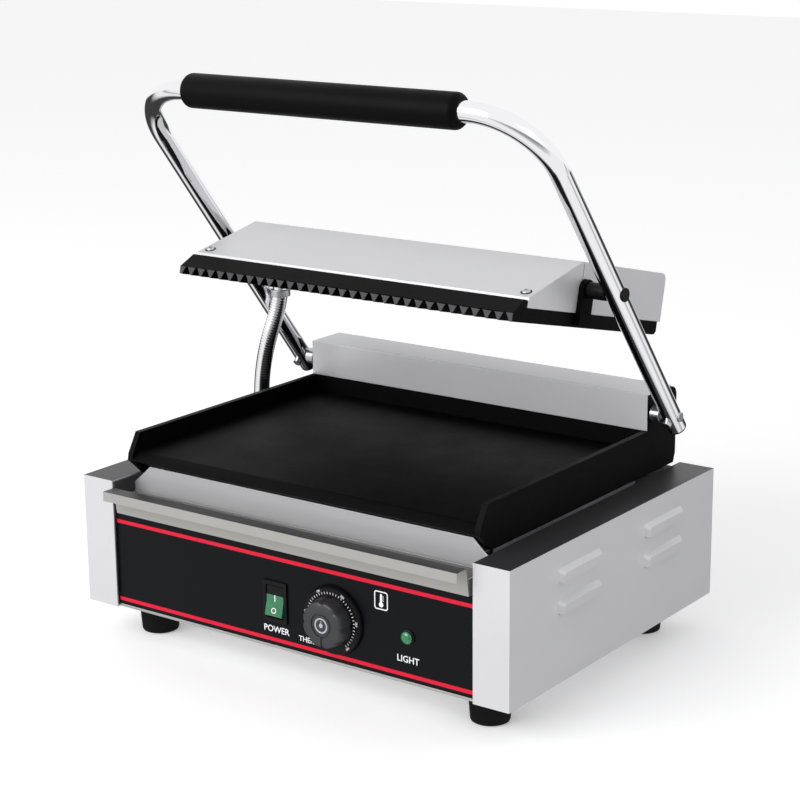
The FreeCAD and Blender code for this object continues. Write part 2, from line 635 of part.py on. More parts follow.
def grip():
    """Black sleeve over the top of the handle, with rounded ends."""
    body = doc.addObject("PartDesign::Body", "body")
    feature = body.newObject("PartDesign::Pad", "pad")
    sketch = body.newObject("Sketcher::SketchObject", "rings")
    origin = [item for item in body.Origin.OriginFeatures if item.Role == "YZ_Plane"][0]
    sketch.AttachmentSupport = [(origin, "")]
    sketch.MapMode = "FlatFace"
    centre = Vector(-number("arm_long"), 0, 0)
    for index, radius in enumerate(("grip_radius", "tube_radius + 0.02")):
        sketch.addGeometry(Part.Circle(centre, Vector(0, 0, 1), number(radius)))
        sketch.addConstraint(Sketcher.Constraint("PointOnObject", index, 3, -1))
        middle = sketch.addConstraint(Sketcher.Constraint("DistanceX", -1, 1, index, 3, centre.x))
        sketch.setExpression("Constraints[%d]" % middle, linked("-arm_long"))
        size = sketch.addConstraint(Sketcher.Constraint("Radius", index, number(radius)))
        sketch.setExpression("Constraints[%d]" % size, linked(radius))
    feature.Profile = sketch
    feature.Midplane = True
    bind(feature, Length="2 * grip_half")
    doc.recompute()
    outer = number("grip_radius") * 2 * math.pi
    fillet(body, 5, lambda at, edge: edge.Curve.TypeId == "Part::GeomCircle" and abs(edge.Length - outer) < 1)
    keep(in_frame(body, HANDLE), "grip")


def hinge_shaft():
    shaft = rod(("-(arm_x + tube_radius + shaft_proud)", 0, 0), "shaft_radius",
                "2 * (arm_x + tube_radius + shaft_proud)", "x")
    collars = [rod((x, 0, 0), 7, "arm_x - tube_radius - plate_half - 0.7", "x")
               for x in ("plate_half + 0.4", "-(arm_x - tube_radius - 0.3)")]
    keep(in_frame(fuse(shaft, *collars), HANDLE), "hinge_shaft")


def arm_fittings(name, side):
    """End plug and clamp screw at the hinge, and the bolt that carries the upper plate."""
    x = "%d * arm_x" % side
    plug = fuse(rod((x, "arm_tail - 4", 0), "tube_radius - tube_wall", 4, "y"),
                rod((x, "arm_tail", 0), "tube_radius - 0.3", 2, "y"))
    keep(in_frame(plug, HANDLE), "end_plug_" + name)
    head = rod((x, 0, "-tube_radius - 3"), 3.4, 3, "z")
    shank = rod((x, 0, "-tube_radius - 0.2"), 1.8, "tube_radius + 0.2 - shaft_radius", "z")
    keep(in_frame(fuse(head, shank), HANDLE), "clamp_screw_" + name)
    outer = "(arm_x + tube_radius + cap_proud)"
    start = "bolt_inner" if side > 0 else "-" + outer
    bolt = rod((start, "-pivot_along", 0), "pivot_radius", outer + " - bolt_inner", "x")
    head_at = outer + " - cap_proud - 1.2" if side > 0 else "-" + outer
    cap = rod((head_at, "-pivot_along", 0), "cap_radius", "cap_proud + 1.2", "x")
    boss_at = "boss_start" if side > 0 else "-(arm_x - tube_radius + 1)"
    boss = rod((boss_at, "-pivot_along", 0), "boss_radius", "arm_x - tube_radius + 1 - boss_start", "x")
    keep(in_frame(fuse(bolt, cap, boss), HANDLE), "pivot_bolt_" + name)


# ---------------------------------------------------------------- upper plate, in its own frame

def upper_plate():
    """Ribbed casting: rounded-bottom grooves run front to rear; its front edge is bevelled."""
    half, rib = number("top_half"), number("rib_deep")
    pitch = 2 * half / (number("rib_count") + 0.4)
    first = -pitch * number("rib_count") / 2
    outline = [(-half, number("top_thick")), (-half, 0.6)]
    for index in range(int(number("rib_count"))):
        left = first + index * pitch
        outline += [(left + 0.9, 0), (left + 0.3 * pitch, 0.72 * rib), (left + 0.42 * pitch, rib),
                    (left + 0.58 * pitch, rib), (left + 0.7 * pitch, 0.72 * rib), (left + pitch - 0.9, 0)]
    outline += [(half, 0.6), (half, number("top_thick"))]
    body = doc.addObject("PartDesign::Body", "body")
    feature = body.newObject("PartDesign::Pad", "pad")
    sketch = body.newObject("Sketcher::SketchObject", "ribs")
    origin = [item for item in body.Origin.OriginFeatures if item.Role == "XZ_Plane"][0]
    sketch.AttachmentSupport = [(origin, "")]
    sketch.MapMode = "FlatFace"
    corners = [Vector(across, up, 0) for across, up in outline]
    for index, corner in enumerate(corners):
        sketch.addGeometry(Part.LineSegment(corner, corners[(index + 1) % len(corners)]))
    feature.Profile = sketch
    feature.Reversed = True
    bind(feature, Length="top_deep")
    doc.recompute()
    across = "2 * top_half + 2"
    bevel_low = "rib_deep + 0.5"
    pocket(body, [(-1, bevel_low + " - ramp"), (7, bevel_low + " + 7 * ramp"), (-1, bevel_low + " + 7 * ramp")],
           across)
    pocket(body, [("top_deep - 4", -1), ("top_deep + 1", -1), ("top_deep + 1", 4)], across)
    bevel = pad([(0, bevel_low), ("lid_front", bevel_low + " + lid_front * ramp"),
                 ("lid_front + 4", "lid_front_up - 0.4"), ("lid_front + 4", "top_thick - 1"),
                 (8, "rib_deep + 0.2")], "2 * top_half")
    keep(in_frame(fuse(body, bevel), UPPER), "upper_plate")


def upper_cover():
    """Stainless cover in two sheets: a wedge in front of the seam, a box behind it."""
    ramp = "(lid_up - lid_front_up) / (lid_ridge - lid_front)"
    start = "lid_front + 4.2"
    start_up = "lid_front_up + 4.2 * " + ramp
    wedge = pad([(start, "top_thick"), (start, start_up), ("lid_ridge", "lid_up"), ("lid_ridge + 3", "lid_up"),
                 ("lid_ridge + 3", "top_thick")], "2 * lid_half")
    pocket(wedge, [(start + " + sheet", "top_thick - 1"), (start + " + sheet", start_up + " - sheet"),
                   ("lid_ridge", "lid_up - sheet"), ("lid_ridge + 4", "lid_up - sheet"),
                   ("lid_ridge + 4", "top_thick - 1")], "2 * (lid_half - sheet)")
    keep(in_frame(wedge, UPPER), "upper_cover_front")
    after_seam = "lid_ridge + 3 + lid_seam"
    rear = pad([(after_seam, "top_thick"), (after_seam, "lid_up"), ("lid_rear", "lid_up"),
                ("lid_rear", "top_thick")], "2 * lid_half")
    fillet(rear, 6, lambda at, edge: along(edge, Vector(1, 0, 0)) and at.y > number("lid_rear") - 1 and at.z > 30)
    pocket(rear, [("lid_ridge + 2", "top_thick - 1"), ("lid_ridge + 2", "lid_up - sheet"),
                  ("lid_rear - 6", "lid_up - sheet"), ("lid_rear - sheet", "lid_up - 6"),
                  ("lid_rear - sheet", "top_thick - 1")], "2 * (lid_half - sheet)")
    keep(in_frame(rear, UPPER), "upper_cover_rear")


def lug(label, side):
    """Cast lug on the plate's side, up to the pivot bolt; it clears the lower plate's wall when closed."""
    section = [("%d * (%s)" % (side, across), up) for across, up in
               (("top_half + 0.05", 2), ("lug_out", 2), ("lug_out", 40), ("lid_half + 0.05", 40),
                ("lid_half + 0.05", "top_thick - 0.2"), ("top_half + 0.05", "top_thick - 0.4"))]
    strap = pad(section, "pivot_s * 2 + 40", "XZ_Plane")
    outline = fuse(box(("-lug_out - 1", "pivot_s - lug_half", 0), ("2 * lug_out + 2", "2 * lug_half", "pivot_up")),
                   rod(("-lug_out - 1", "pivot_s", "pivot_up"), "lug_half", "2 * lug_out + 2", "x"))
    bore = rod(("-lug_out - 1", "pivot_s", "pivot_up"), "pivot_radius + slip", "2 * lug_out + 2", "x")
    keep(in_frame(cut(common(strap, outline), bore), UPPER), label)


def upper_fittings():
    """Cover screws on the ramp and the sheathed element on the casting's back."""
    rise = number("lid_up - lid_front_up") / number("lid_ridge - lid_front")
    normal = Vector(0, -rise, 1).normalize()
    for name, side in SIDES:
        spot = Vector(side * number("lid_half - 8"), number("lid_front") + 12, number("lid_front_up") + 12 * rise)
        piece = doc.addObject("Part::Feature", "screw")
        piece.Shape = Part.makeCylinder(3.4, 1.8, spot, normal)
        keep(in_frame(piece, UPPER), "cover_screw_" + name)
    up = "top_thick + element_radius + 0.2"
    route = [(-120, 200, up), (-120, 36, up), (-70, 36, up), (-70, 190, up), (-20, 190, up), (-20, 120, up),
             (20, 120, up), (20, 190, up), (70, 190, up), (70, 36, up), (120, 36, up), (120, 200, up)]
    tube("upper_element", route, "element_radius", UPPER)


# ---------------------------------------------------------------- conduit, as it lies when the grill is open

CLIP = ("hose_x", HANDLE["y"] + " - clip_along * cos(open_angle) + 2.5",
        HANDLE["z"] + " + clip_along * sin(open_angle) + 1.5")

MOUTH_S = "(elbow_s + (elbow_drop + %s) * sin(elbow_turn))"
MOUTH_UP = "(elbow_up - (elbow_drop + %s) * cos(elbow_turn))"


def before_mouth(gap):
    """A point that far outside the elbow's mouth, as y and z formulas."""
    back, up = MOUTH_S % gap, MOUTH_UP % gap
    return (UPPER["y"] + " + %s * cos(tilt) + %s * sin(tilt)" % (back, up),
            UPPER["z"] + " - %s * sin(tilt) + %s * cos(tilt)" % (back, up))


def conduit():
    """Flexible conduit from the base to the upper plate, clipped to the left arm on the way."""
    base = ("hose_x - 18", "front_y + gland_set", "base_low + housing_high")
    flange = rod(base, 11, 5, "z")
    nut = rod((base[0], base[1], base[2] + " + 5"), 9, 7, "z")
    bore = rod((base[0], base[1], base[2] + " - 1"), 5, 14, "z")
    keep(cut(fuse(flange, nut), bore), "conduit_gland")
    lower = [(base[0], base[1], base[2] + " + 12.05"), (base[0], base[1], 166),
             ("hose_x - 15.4", base[1] + " - 0.6", 188), ("hose_x - 8.2", base[1] + " + 1.2", 213),
             ("hose_x - 2", CLIP[1] + " - 1.4", CLIP[2] + " - 14"), CLIP]
    tube("conduit_lower", lower, "hose_radius")
    band = cut(rod((CLIP[0], CLIP[1], CLIP[2] + " - 3"), "hose_radius + 1.9", 6, "z"),
               rod((CLIP[0], CLIP[1], CLIP[2] + " - 4"), "hose_radius + 0.9", 8, "z"))
    keep(band, "conduit_clip")
    upper = [("hose_x", CLIP[1] + " + 0.3", CLIP[2] + " + 2.4"), ("hose_x", *before_mouth(15)),
             ("hose_x", *before_mouth("slip"))]
    tube("conduit_upper", upper, "hose_radius")
    leg = rod(("hose_x", MOUTH_S % 0, MOUTH_UP % 0), "elbow_radius", "elbow_drop + 5.4", "z")
    leg.Placement = Placement(Vector(), Rotation(Vector(1, 0, 0), 1))
    bind(leg, Placement__Rotation__Angle="elbow_turn")
    elbow = fuse(rod(("hose_x", "elbow_s", "elbow_up"), "elbow_radius", "-hose_x - lid_half", "x"), leg)
    keep(in_frame(elbow, UPPER), "conduit_elbow")


# ---------------------------------------------------------------- build, check and write

base_pan()
for name, side in SIDES:
    housing(name + "_housing", side)
    hinge_bracket("hinge_bracket_" + name, side)
    spring("balance_spring_" + name, side)
    for end in ("front", "rear"):
        foot("foot_%s_%s" % (end, name), side, "foot_" + end)
front_panel()
rear_panel()
apron()
rocker_switch()
thermostat()
pilot_lamp()
wiring()
lower_plate()
lower_heating()
rear_cover()
drip_tray()
handle_tube()
grip()
hinge_shaft()
upper_plate()
upper_cover()
for name, side in SIDES:
    arm_fittings(name, side)
    lug("lug_" + name, side)
upper_fittings()
conduit()
doc.recompute()

for item in doc.Objects:
    if "Invalid" in item.State or "Error" in item.State:
        raise RuntimeError("%s did not build: %s" % (item.Label, item.State))
for piece in parts:
    if piece.Shape.isNull() or not piece.Shape.isValid() or len(piece.Shape.Solids) != 1:
        raise RuntimeError("%s is not one valid solid" % piece.Label)

os.makedirs("parts", exist_ok=True)
for piece in parts:
    piece.Shape.exportStep("parts/%s.step" % piece.Label)
print(len(parts), "parts written")
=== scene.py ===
"""Panini press: finishes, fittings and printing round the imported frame, and a small studio to see it in."""
import math

import bmesh
import bpy
from mathutils import Matrix, Vector


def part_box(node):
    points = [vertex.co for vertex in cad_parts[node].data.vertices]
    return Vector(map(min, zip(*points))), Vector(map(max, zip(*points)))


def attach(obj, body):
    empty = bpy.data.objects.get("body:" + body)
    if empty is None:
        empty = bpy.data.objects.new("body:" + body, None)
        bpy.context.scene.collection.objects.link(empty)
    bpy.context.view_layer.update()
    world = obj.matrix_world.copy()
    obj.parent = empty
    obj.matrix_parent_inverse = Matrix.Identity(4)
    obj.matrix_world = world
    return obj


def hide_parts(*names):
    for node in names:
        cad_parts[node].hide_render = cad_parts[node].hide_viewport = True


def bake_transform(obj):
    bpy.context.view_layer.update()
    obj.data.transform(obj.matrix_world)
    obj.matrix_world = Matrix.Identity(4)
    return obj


bl_info = {
    "name": "Panini press",
    "version": (1, 0, 0),
    "blender": (4, 5, 0),
    "location": "View3D > Sidebar > Panini press",
    "description": "Builds the visible pieces of a contact grill round its packed frame",
    "category": "Object",
}

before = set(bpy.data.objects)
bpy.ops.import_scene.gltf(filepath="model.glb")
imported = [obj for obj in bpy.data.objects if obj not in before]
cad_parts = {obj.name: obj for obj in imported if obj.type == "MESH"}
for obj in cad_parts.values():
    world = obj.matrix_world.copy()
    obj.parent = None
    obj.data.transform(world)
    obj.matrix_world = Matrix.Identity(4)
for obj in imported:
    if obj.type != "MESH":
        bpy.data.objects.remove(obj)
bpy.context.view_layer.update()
MM = 0.001
X, Y, Z = Vector((1, 0, 0)), Vector((0, 1, 0)), Vector((0, 0, 1))


# ------------------------------------------------------------------ numbers that come from the frame

def middle(node):
    """Middle of a frame node's box."""
    low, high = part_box(node)
    return (low + high) / 2


PANEL_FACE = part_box("front_panel")[0].y


# ------------------------------------------------------------------ colours and sizes a user would change

def linear(code):
    """An sRGB hex colour as linear RGBA."""
    parts = [int(code[place:place + 2], 16) / 255 for place in (1, 3, 5)]
    return tuple(p / 12.92 if p <= 0.04045 else ((p + 0.055) / 1.055) ** 2.4 for p in parts) + (1.0,)


def colour(name, code, note):
    return bpy.props.FloatVectorProperty(name=name, description=note, subtype="COLOR", size=4, min=0, max=1,
                                         default=linear(code))


def length(name, millimetres, note):
    return bpy.props.FloatProperty(name=name, description=note, default=millimetres * MM, min=0,
                                   subtype="DISTANCE", unit="LENGTH", precision=5)


def number(name, count, least, note):
    return bpy.props.IntProperty(name=name, description=note, default=count, min=least)


class PressColours(bpy.types.PropertyGroup):
    """Colours of the finishes."""
    stainless: colour("Stainless", "#D2D2D4", "Brushed stainless sheet")
    # Painted shade: a dark steel for the stainless tops beside the plates, standing in for the dark
    # reflection they show, not for heat.
    shaded_steel: colour("Shaded steel", "#3E3E40", "Stainless tops dulled by heat beside the plate")
    # Painted shade: a darker stainless for the drip tray and the bare edge strip, standing in for the shade
    # they lie in low at the front.
    tray_steel: colour("Tray steel", "#A6A5A2", "Stainless of the tray and the bare edge strip")
    chrome: colour("Chrome", "#F2F2F4", "Bright chromium plating")
    coating: colour("Coating", "#040404", "Black coating on the cast plates")
    # Painted highlight: a lighter grey for the rib ends' front faces.
    rib_end: colour("Rib ends", "#323234", "Ground ends of the ribs")
    panel: colour("Panel", "#0B0C10", "Gloss overlay of the control panel")
    stripe: colour("Stripe", "#D01031", "Printed stripes")
    print_white: colour("Print", "#E9EAEC", "Printed marks")
    grip: colour("Grip", "#020203", "Handle grip")
    moulding: colour("Moulding", "#0B0B0D", "Bezels, plugs and caps")
    # Painted highlight: the knob's grip is drawn lighter than the other black mouldings, for the sheen on it.
    knob: colour("Knob", "#2A2B2F", "Grip of the thermostat knob")
    emblem: colour("Emblem", "#A9ABAF", "Ring on the knob's cap")
    green: colour("Green", "#0A6E42", "Rocker")
    lamp: colour("Lamp", "#0A7A44", "Lamp lens")
    rubber: colour("Rubber", "#040404", "Feet")
    zinc: colour("Zinc", "#BFC1C4", "Plated screws and shaft")


class PressSizes(bpy.types.PropertyGroup):
    """Sizes that the frame leaves open."""
    fold: length("Fold", 0.7, "Outside radius of folded sheet edges")
    cast_edge: length("Cast edge", 1.1, "Radius of the castings' edges")
    print_thick: length("Print thickness", 0.08, "Thickness of printed ink")
    wire: length("Spring wire", 2.0, "Wire of the balance springs")
    coil_pitch: length("Coil pitch", 2.5, "Distance between two coils")
    hose_pitch: length("Hose pitch", 2.4, "Distance between two windings of the conduit")
    hose_wave: length("Hose wave", 0.06, "Depth between two windings of the conduit")
    dial_marks: number("Dial marks", 41, 2, "Marks round the dial")
    flutes: number("Flutes", 8, 3, "Finger flutes round the knob")


def sizes():
    return bpy.context.scene.press_sizes


def paint(name):
    return tuple(getattr(bpy.context.scene.press_colours, name))


# ------------------------------------------------------------------ nodes

def add(tree, kind, links=None, **settings):
    """A node with its settings; links give a socket's value, or the socket that feeds it."""
    made = tree.nodes.new(kind)
    for name, value in settings.items():
        setattr(made, name, value)
    for name, value in (links or {}).items():
        socket = made.inputs[name]
        if isinstance(value, bpy.types.NodeSocket):
            tree.links.new(value, socket)
        else:
            socket.default_value = value
    return made


def finish(name, base, roughness, metallic=0.0, **more):
    """A material with its shader: (material, tree, shader, object coordinates)."""
    made = bpy.data.materials.new(name)
    made.use_nodes = True
    tree = made.node_tree
    shader = tree.nodes["Principled BSDF"]
    shader.inputs["Base Color"].default_value = base
    shader.inputs["Roughness"].default_value = roughness
    shader.inputs["Metallic"].default_value = metallic
    for socket, value in more.items():
        shader.inputs[socket.replace("_", " ")].default_value = value
    made.diffuse_color = base
    return made, tree, shader, add(tree, "ShaderNodeTexCoord").outputs["Object"]


def vary(tree, shader, pattern, socket, low, high):
    """Let a pattern's first output carry a socket between two values."""
    ramp = add(tree, "ShaderNodeMapRange", {"Value": pattern.outputs[0], "To Min": low, "To Max": high})
    tree.links.new(ramp.outputs["Result"], shader.inputs[socket])


def shades(tree, shader, pattern, dark, light):
    """Let a pattern's first output carry the colour between two shades of it."""
    base = shader.inputs["Base Color"].default_value[:]
    ramp = add(tree, "ShaderNodeValToRGB", {"Fac": pattern.outputs[0]})
    for stop, factor in zip(ramp.color_ramp.elements, (dark, light)):
        stop.color = tuple(channel * factor for channel in base[:3]) + (1.0,)
    tree.links.new(ramp.outputs["Color"], shader.inputs["Base Color"])


def relief(tree, shader, pattern, depth, strength=1.0):
    """Let a pattern's first output raise the surface by a depth in metres."""
    bump = add(tree, "ShaderNodeBump", {"Height": pattern.outputs[0], "Distance": depth,
                                        "Strength": strength})
    tree.links.new(bump.outputs["Normal"], shader.inputs["Normal"])


def placed(name, data):
    """A new object in the scene."""
    thing = bpy.data.objects.new(name, data)
    bpy.context.scene.collection.objects.link(thing)
    return thing


def settled(thing):
    """The plain mesh of an object with its modifiers done; the object goes."""
    bpy.context.view_layer.update()
    mesh = bpy.data.meshes.new_from_object(thing.evaluated_get(bpy.context.evaluated_depsgraph_get()))
    thing.modifiers.clear()
    bpy.data.objects.remove(thing)
    return mesh


MADE = {}


def material(maker, *choice):
    """Each finish is made once."""
    key = (maker.__name__,) + choice
    if key not in MADE:
        MADE[key] = maker(*choice)
    return MADE[key]


def brushed_stainless(grain, tone="stainless"):
    """304 stainless sheet, brushed: fine lines along the grain that spread the highlight across it.

    Real lines are about 0.1 mm apart; drawn at 0.7 mm so that they show."""
    made, tree, shader, place = finish("brushed %s along %s" % (tone, grain), paint(tone), 0.42, 0.5)
    line, run = 1 / (0.7 * MM), 1 / (90 * MM)
    stretch = tuple(run if axis == grain else line for axis in "xyz")
    mapped = add(tree, "ShaderNodeMapping", {"Vector": place, "Scale": stretch})
    lines = add(tree, "ShaderNodeTexNoise", {"Vector": mapped.outputs["Vector"], "Scale": 1.0, "Detail": 3.0})
    clouds = add(tree, "ShaderNodeTexNoise", {"Vector": place, "Scale": 1 / (60 * MM), "Detail": 2.0})
    vary(tree, shader, lines, "Roughness", 0.35, 0.5)
    shades(tree, shader, clouds, 0.96, 1.03)
    relief(tree, shader, lines, 0.02 * MM, 0.35)
    return made


def chromium_plate():
    """Bright chromium on polished tube: a clear mirror with faint wiping marks."""
    made, tree, shader, place = finish("bright chromium plate", paint("chrome"), 0.06, 1.0)
    wiping = add(tree, "ShaderNodeTexNoise", {"Vector": place, "Scale": 1 / (14 * MM), "Detail": 4.0})
    vary(tree, shader, wiping, "Roughness", 0.035, 0.095)
    return made


def coated_iron(grain):
    """Sand-cast iron under a black heat-proof coating: a fine even grain that catches small lights."""
    made, tree, shader, place = finish("coated cast iron %.1f" % grain, paint("coating"), 0.5,
                                       Specular_IOR_Level=0.06)
    sand = add(tree, "ShaderNodeTexNoise", {"Vector": place, "Scale": 1 / (grain * MM), "Detail": 4.0,
                                            "Roughness": 0.6})
    pits = add(tree, "ShaderNodeTexVoronoi", {"Vector": place, "Scale": 1 / (2.2 * grain * MM)})
    wear = add(tree, "ShaderNodeTexNoise", {"Vector": place, "Scale": 1 / (45 * MM), "Detail": 3.0})
    both = add(tree, "ShaderNodeMath", {0: sand.outputs["Fac"], 1: pits.outputs["Distance"]}, operation="ADD")
    vary(tree, shader, wear, "Roughness", 0.42, 0.6)
    shades(tree, shader, sand, 0.6, 1.7)
    relief(tree, shader, both, 0.16 * MM, 0.5)
    return made


def highlit_rib_ends():
    """Cast iron at the ends of the ribs, drawn lighter grey and speckled: a painted highlight on the faces
    that look to the front.
    """
    made, tree, shader, place = finish("ground rib ends", paint("rib_end"), 0.55, 0.2)
    specks = add(tree, "ShaderNodeTexNoise", {"Vector": place, "Scale": 1 / (1.1 * MM), "Detail": 4.0,
                                              "Roughness": 0.7})
    shades(tree, shader, specks, 0.15, 2.0)
    relief(tree, shader, specks, 0.1 * MM, 0.4)
    return made


def gloss_overlay():
    """Polyester overlay, printed black from behind: glossy and almost flat."""
    made, tree, shader, place = finish("gloss black overlay", paint("panel"), 0.35, Coat_Weight=0.04,
                                       Coat_Roughness=0.12, Specular_IOR_Level=0.08)
    ripple = add(tree, "ShaderNodeTexNoise", {"Vector": place, "Scale": 1 / (9 * MM), "Detail": 2.0})
    shades(tree, shader, ripple, 0.92, 1.08)
    relief(tree, shader, ripple, 0.02 * MM, 0.2)
    return made


def printed_ink(name):
    """Screen-printed ink: a thin, slightly uneven matt film."""
    made, tree, shader, place = finish("screen-printed " + name, paint(name), 0.5,
                                       Specular_IOR_Level=0.2)
    film = add(tree, "ShaderNodeTexNoise", {"Vector": place, "Scale": 1 / (1.5 * MM), "Detail": 2.0})
    shades(tree, shader, film, 0.93, 1.04)
    return made


def foam_sleeve():
    """Rubber foam sleeve with a closed skin: soft sheen and fine pores."""
    made, tree, shader, place = finish("black foam sleeve", paint("grip"), 0.5, Sheen_Weight=0.01,
                                       Specular_IOR_Level=0.07)
    pores = add(tree, "ShaderNodeTexVoronoi", {"Vector": place, "Scale": 1 / (0.9 * MM)})
    cloud = add(tree, "ShaderNodeTexNoise", {"Vector": place, "Scale": 1 / (22 * MM), "Detail": 3.0})
    vary(tree, shader, cloud, "Roughness", 0.4, 0.58)
    relief(tree, shader, pores, 0.12 * MM, 0.5)
    return made


def moulded(tone):
    """Black moulded nylon: satin, with the fine spark-eroded grain of its tool."""
    made, tree, shader, place = finish("moulded black nylon, " + tone, paint(tone), 0.36,
                                       Specular_IOR_Level=0.5 if tone == "knob" else 0.15)
    grain = add(tree, "ShaderNodeTexNoise", {"Vector": place, "Scale": 1 / (0.5 * MM), "Detail": 2.0})
    vary(tree, shader, grain, "Roughness", 0.3, 0.46)
    relief(tree, shader, grain, 0.03 * MM, 0.4)
    return made


def green_lens(tone):
    """Green translucent polycarbonate: glossy, a little light spreads inside it."""
    made, tree, shader, place = finish("green polycarbonate, " + tone, paint(tone), 0.1,
                                       Subsurface_Weight=0.25, Subsurface_Scale=2 * MM, IOR=1.58,
                                       Coat_Weight=0.5, Coat_Roughness=0.06)
    depth = add(tree, "ShaderNodeTexNoise", {"Vector": place, "Scale": 1 / (6 * MM), "Detail": 2.0})
    shades(tree, shader, depth, 0.6, 1.35)
    return made


def foot_rubber():
    """Black moulded rubber: matt, with dust in its grain."""
    made, tree, shader, place = finish("black rubber", paint("rubber"), 0.75, Specular_IOR_Level=0.15)
    grain = add(tree, "ShaderNodeTexNoise", {"Vector": place, "Scale": 1 / (0.8 * MM), "Detail": 3.0})
    shades(tree, shader, grain, 0.8, 1.5)
    relief(tree, shader, grain, 0.05 * MM, 0.4)
    return made


def zinc_plate():
    """Zinc-plated steel: silvery, slightly cloudy."""
    made, tree, shader, place = finish("zinc-plated steel", paint("zinc"), 0.28, 1.0)
    cloud = add(tree, "ShaderNodeTexNoise", {"Vector": place, "Scale": 1 / (3 * MM), "Detail": 4.0})
    vary(tree, shader, cloud, "Roughness", 0.2, 0.38)
    shades(tree, shader, cloud, 0.88, 1.04)
    return made


def heated_sheath():
    """Nickel-steel element sheath, browned by heat along its length."""
    made, tree, shader, place = finish("heat-browned sheath", linear("#6A6058"), 0.42, 1.0)
    heat = add(tree, "ShaderNodeTexNoise", {"Vector": place, "Scale": 1 / (30 * MM), "Detail": 4.0})
    shades(tree, shader, heat, 0.55, 1.2)
    vary(tree, shader, heat, "Roughness", 0.34, 0.55)
    return made


# ------------------------------------------------------------------ meshes

def piece(name, mesh, body, maker, *choice, nodes=()):
    """A finished piece at the origin that rides on a body and stands for its frame nodes."""
    mesh.name = name
    mesh.materials.clear()
    mesh.materials.append(material(maker, *choice))
    thing = placed(name, mesh)
    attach(thing, body)
    if nodes:
        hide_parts(*nodes)
    return thing


def printed(name, shape, body, ink):
    """A flat-shaded piece of printed ink."""
    return piece(name, mesh_of(shape, smooth=False), body, printed_ink, ink)


def dress(node, maker, *choice):
    """A frame node that stays as it is, with its finish."""
    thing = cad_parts[node]
    thing.data.materials.clear()
    thing.data.materials.append(material(maker, *choice))


def mesh_of(shape, smooth=True, crease=32):
    """The mesh of a bmesh, smooth but for edges sharper than the crease, in degrees."""
    mesh = bpy.data.meshes.new("piece")
    shape.to_mesh(mesh)
    shape.free()
    if smooth:
        mesh.shade_smooth()
        mesh.set_sharp_from_angle(angle=math.radians(crease))
    return mesh


def rounded(name, node, body, radius, maker, *choice, steps=2, sharp=34, parting=None):
    """A frame node's shape with its edges rounded, as folded sheet and castings have them.

    parting is a height at which its faces are divided, so that they can have two finishes."""
    shape = bmesh.new()
    shape.from_mesh(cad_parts[node].data)
    bmesh.ops.remove_doubles(shape, verts=shape.verts, dist=4e-6)
    bmesh.ops.dissolve_limit(shape, angle_limit=math.radians(0.7), verts=shape.verts, edges=shape.edges)
    if parting is not None:
        everything = shape.verts[:] + shape.edges[:] + shape.faces[:]
        bmesh.ops.bisect_plane(shape, geom=everything, plane_co=(0, 0, parting), plane_no=Z)
    mesh = mesh_of(shape, crease=180)
    for left in ("custom_normal", "sharp_face"):
        if left in mesh.attributes:
            mesh.attributes.remove(mesh.attributes[left])
    mesh.shade_smooth()
    thing = piece(name, mesh, body, maker, *choice, nodes=(node,))
    bevel = thing.modifiers.new("rounding", "BEVEL")
    bevel.width = radius
    bevel.segments = steps
    bevel.limit_method = "ANGLE"
    bevel.angle_limit = math.radians(sharp)
    bevel.harden_normals = True
    bevel.use_clamp_overlap = True
    bevel.miter_outer = "MITER_ARC"
    return thing


def second_finish(thing, test, maker, *choice):
    """Give the faces that pass the test a finish of their own."""
    thing.data.materials.append(material(maker, *choice))
    for face in thing.data.polygons:
        if test(face):
            face.material_index = 1


def around(radius, angle):
    """A point of a circle."""
    return radius * math.cos(angle), radius * math.sin(angle)


def circle(centre, radius, steps):
    """(x, z) points round a place, anticlockwise as seen from the front."""
    turns = [around(radius, 2 * math.pi * step / steps) for step in range(steps)]
    return [(centre[0] + across, centre[1] + up) for across, up in turns]


def lathe(profile, place, axis, segments=64, wave=None):
    """A turned shape: the profile's (along, radius) points about an axis from a place.

    An end closes at radius 0, and wave(turn, radius) may change a point's radius."""
    turn = axis.to_track_quat("Z", "Y").to_matrix().to_4x4()
    turn = Matrix.Translation(place) @ turn
    shape = bmesh.new()
    rings = []
    for along, radius in profile:
        if radius == 0:
            rings.append([shape.verts.new(turn @ Vector((0, 0, along)))])
            continue
        ring = []
        for step in range(segments):
            angle = 2 * math.pi * step / segments
            reach = wave(angle, radius) if wave else radius
            ring.append(shape.verts.new(turn @ Vector((*around(reach, angle), along))))
        rings.append(ring)
    for first, second in zip(rings, rings[1:]):
        for step in range(segments):
            after = (step + 1) % segments
            corners = [first[step % len(first)], first[after % len(first)],
                       second[after % len(second)], second[step % len(second)]]
            shape.faces.new(list(dict.fromkeys(corners)))
    if len(rings[0]) > 1 and len(rings[-1]) > 1:
        for step in range(segments):
            after = (step + 1) % segments
            shape.faces.new([rings[-1][step], rings[-1][after], rings[0][after], rings[0][step]])
    bmesh.ops.recalc_face_normals(shape, faces=shape.faces)
    return shape


def slab(shape, low, high):
    """Add a box from its lowest to its highest corner to a shape."""
    size = Vector(high) - Vector(low)
    centre = (Vector(high) + Vector(low)) / 2
    bmesh.ops.create_cube(shape, size=1, matrix=Matrix.Translation(centre) @ Matrix.Diagonal((*size, 1)))


def outline_plate(shape, points, y, thick):
    """Add a flat plate that faces the front to a shape: (x, z) points anticlockwise as seen from there."""
    front = [shape.verts.new((x, y - thick, z)) for x, z in points]
    back = [shape.verts.new((x, y, z)) for x, z in points]
    shape.faces.new(front)
    shape.faces.new(back[::-1])
    for step, corner in enumerate(front):
        after = (step + 1) % len(front)
        shape.faces.new([corner, back[step], back[after], front[after]])


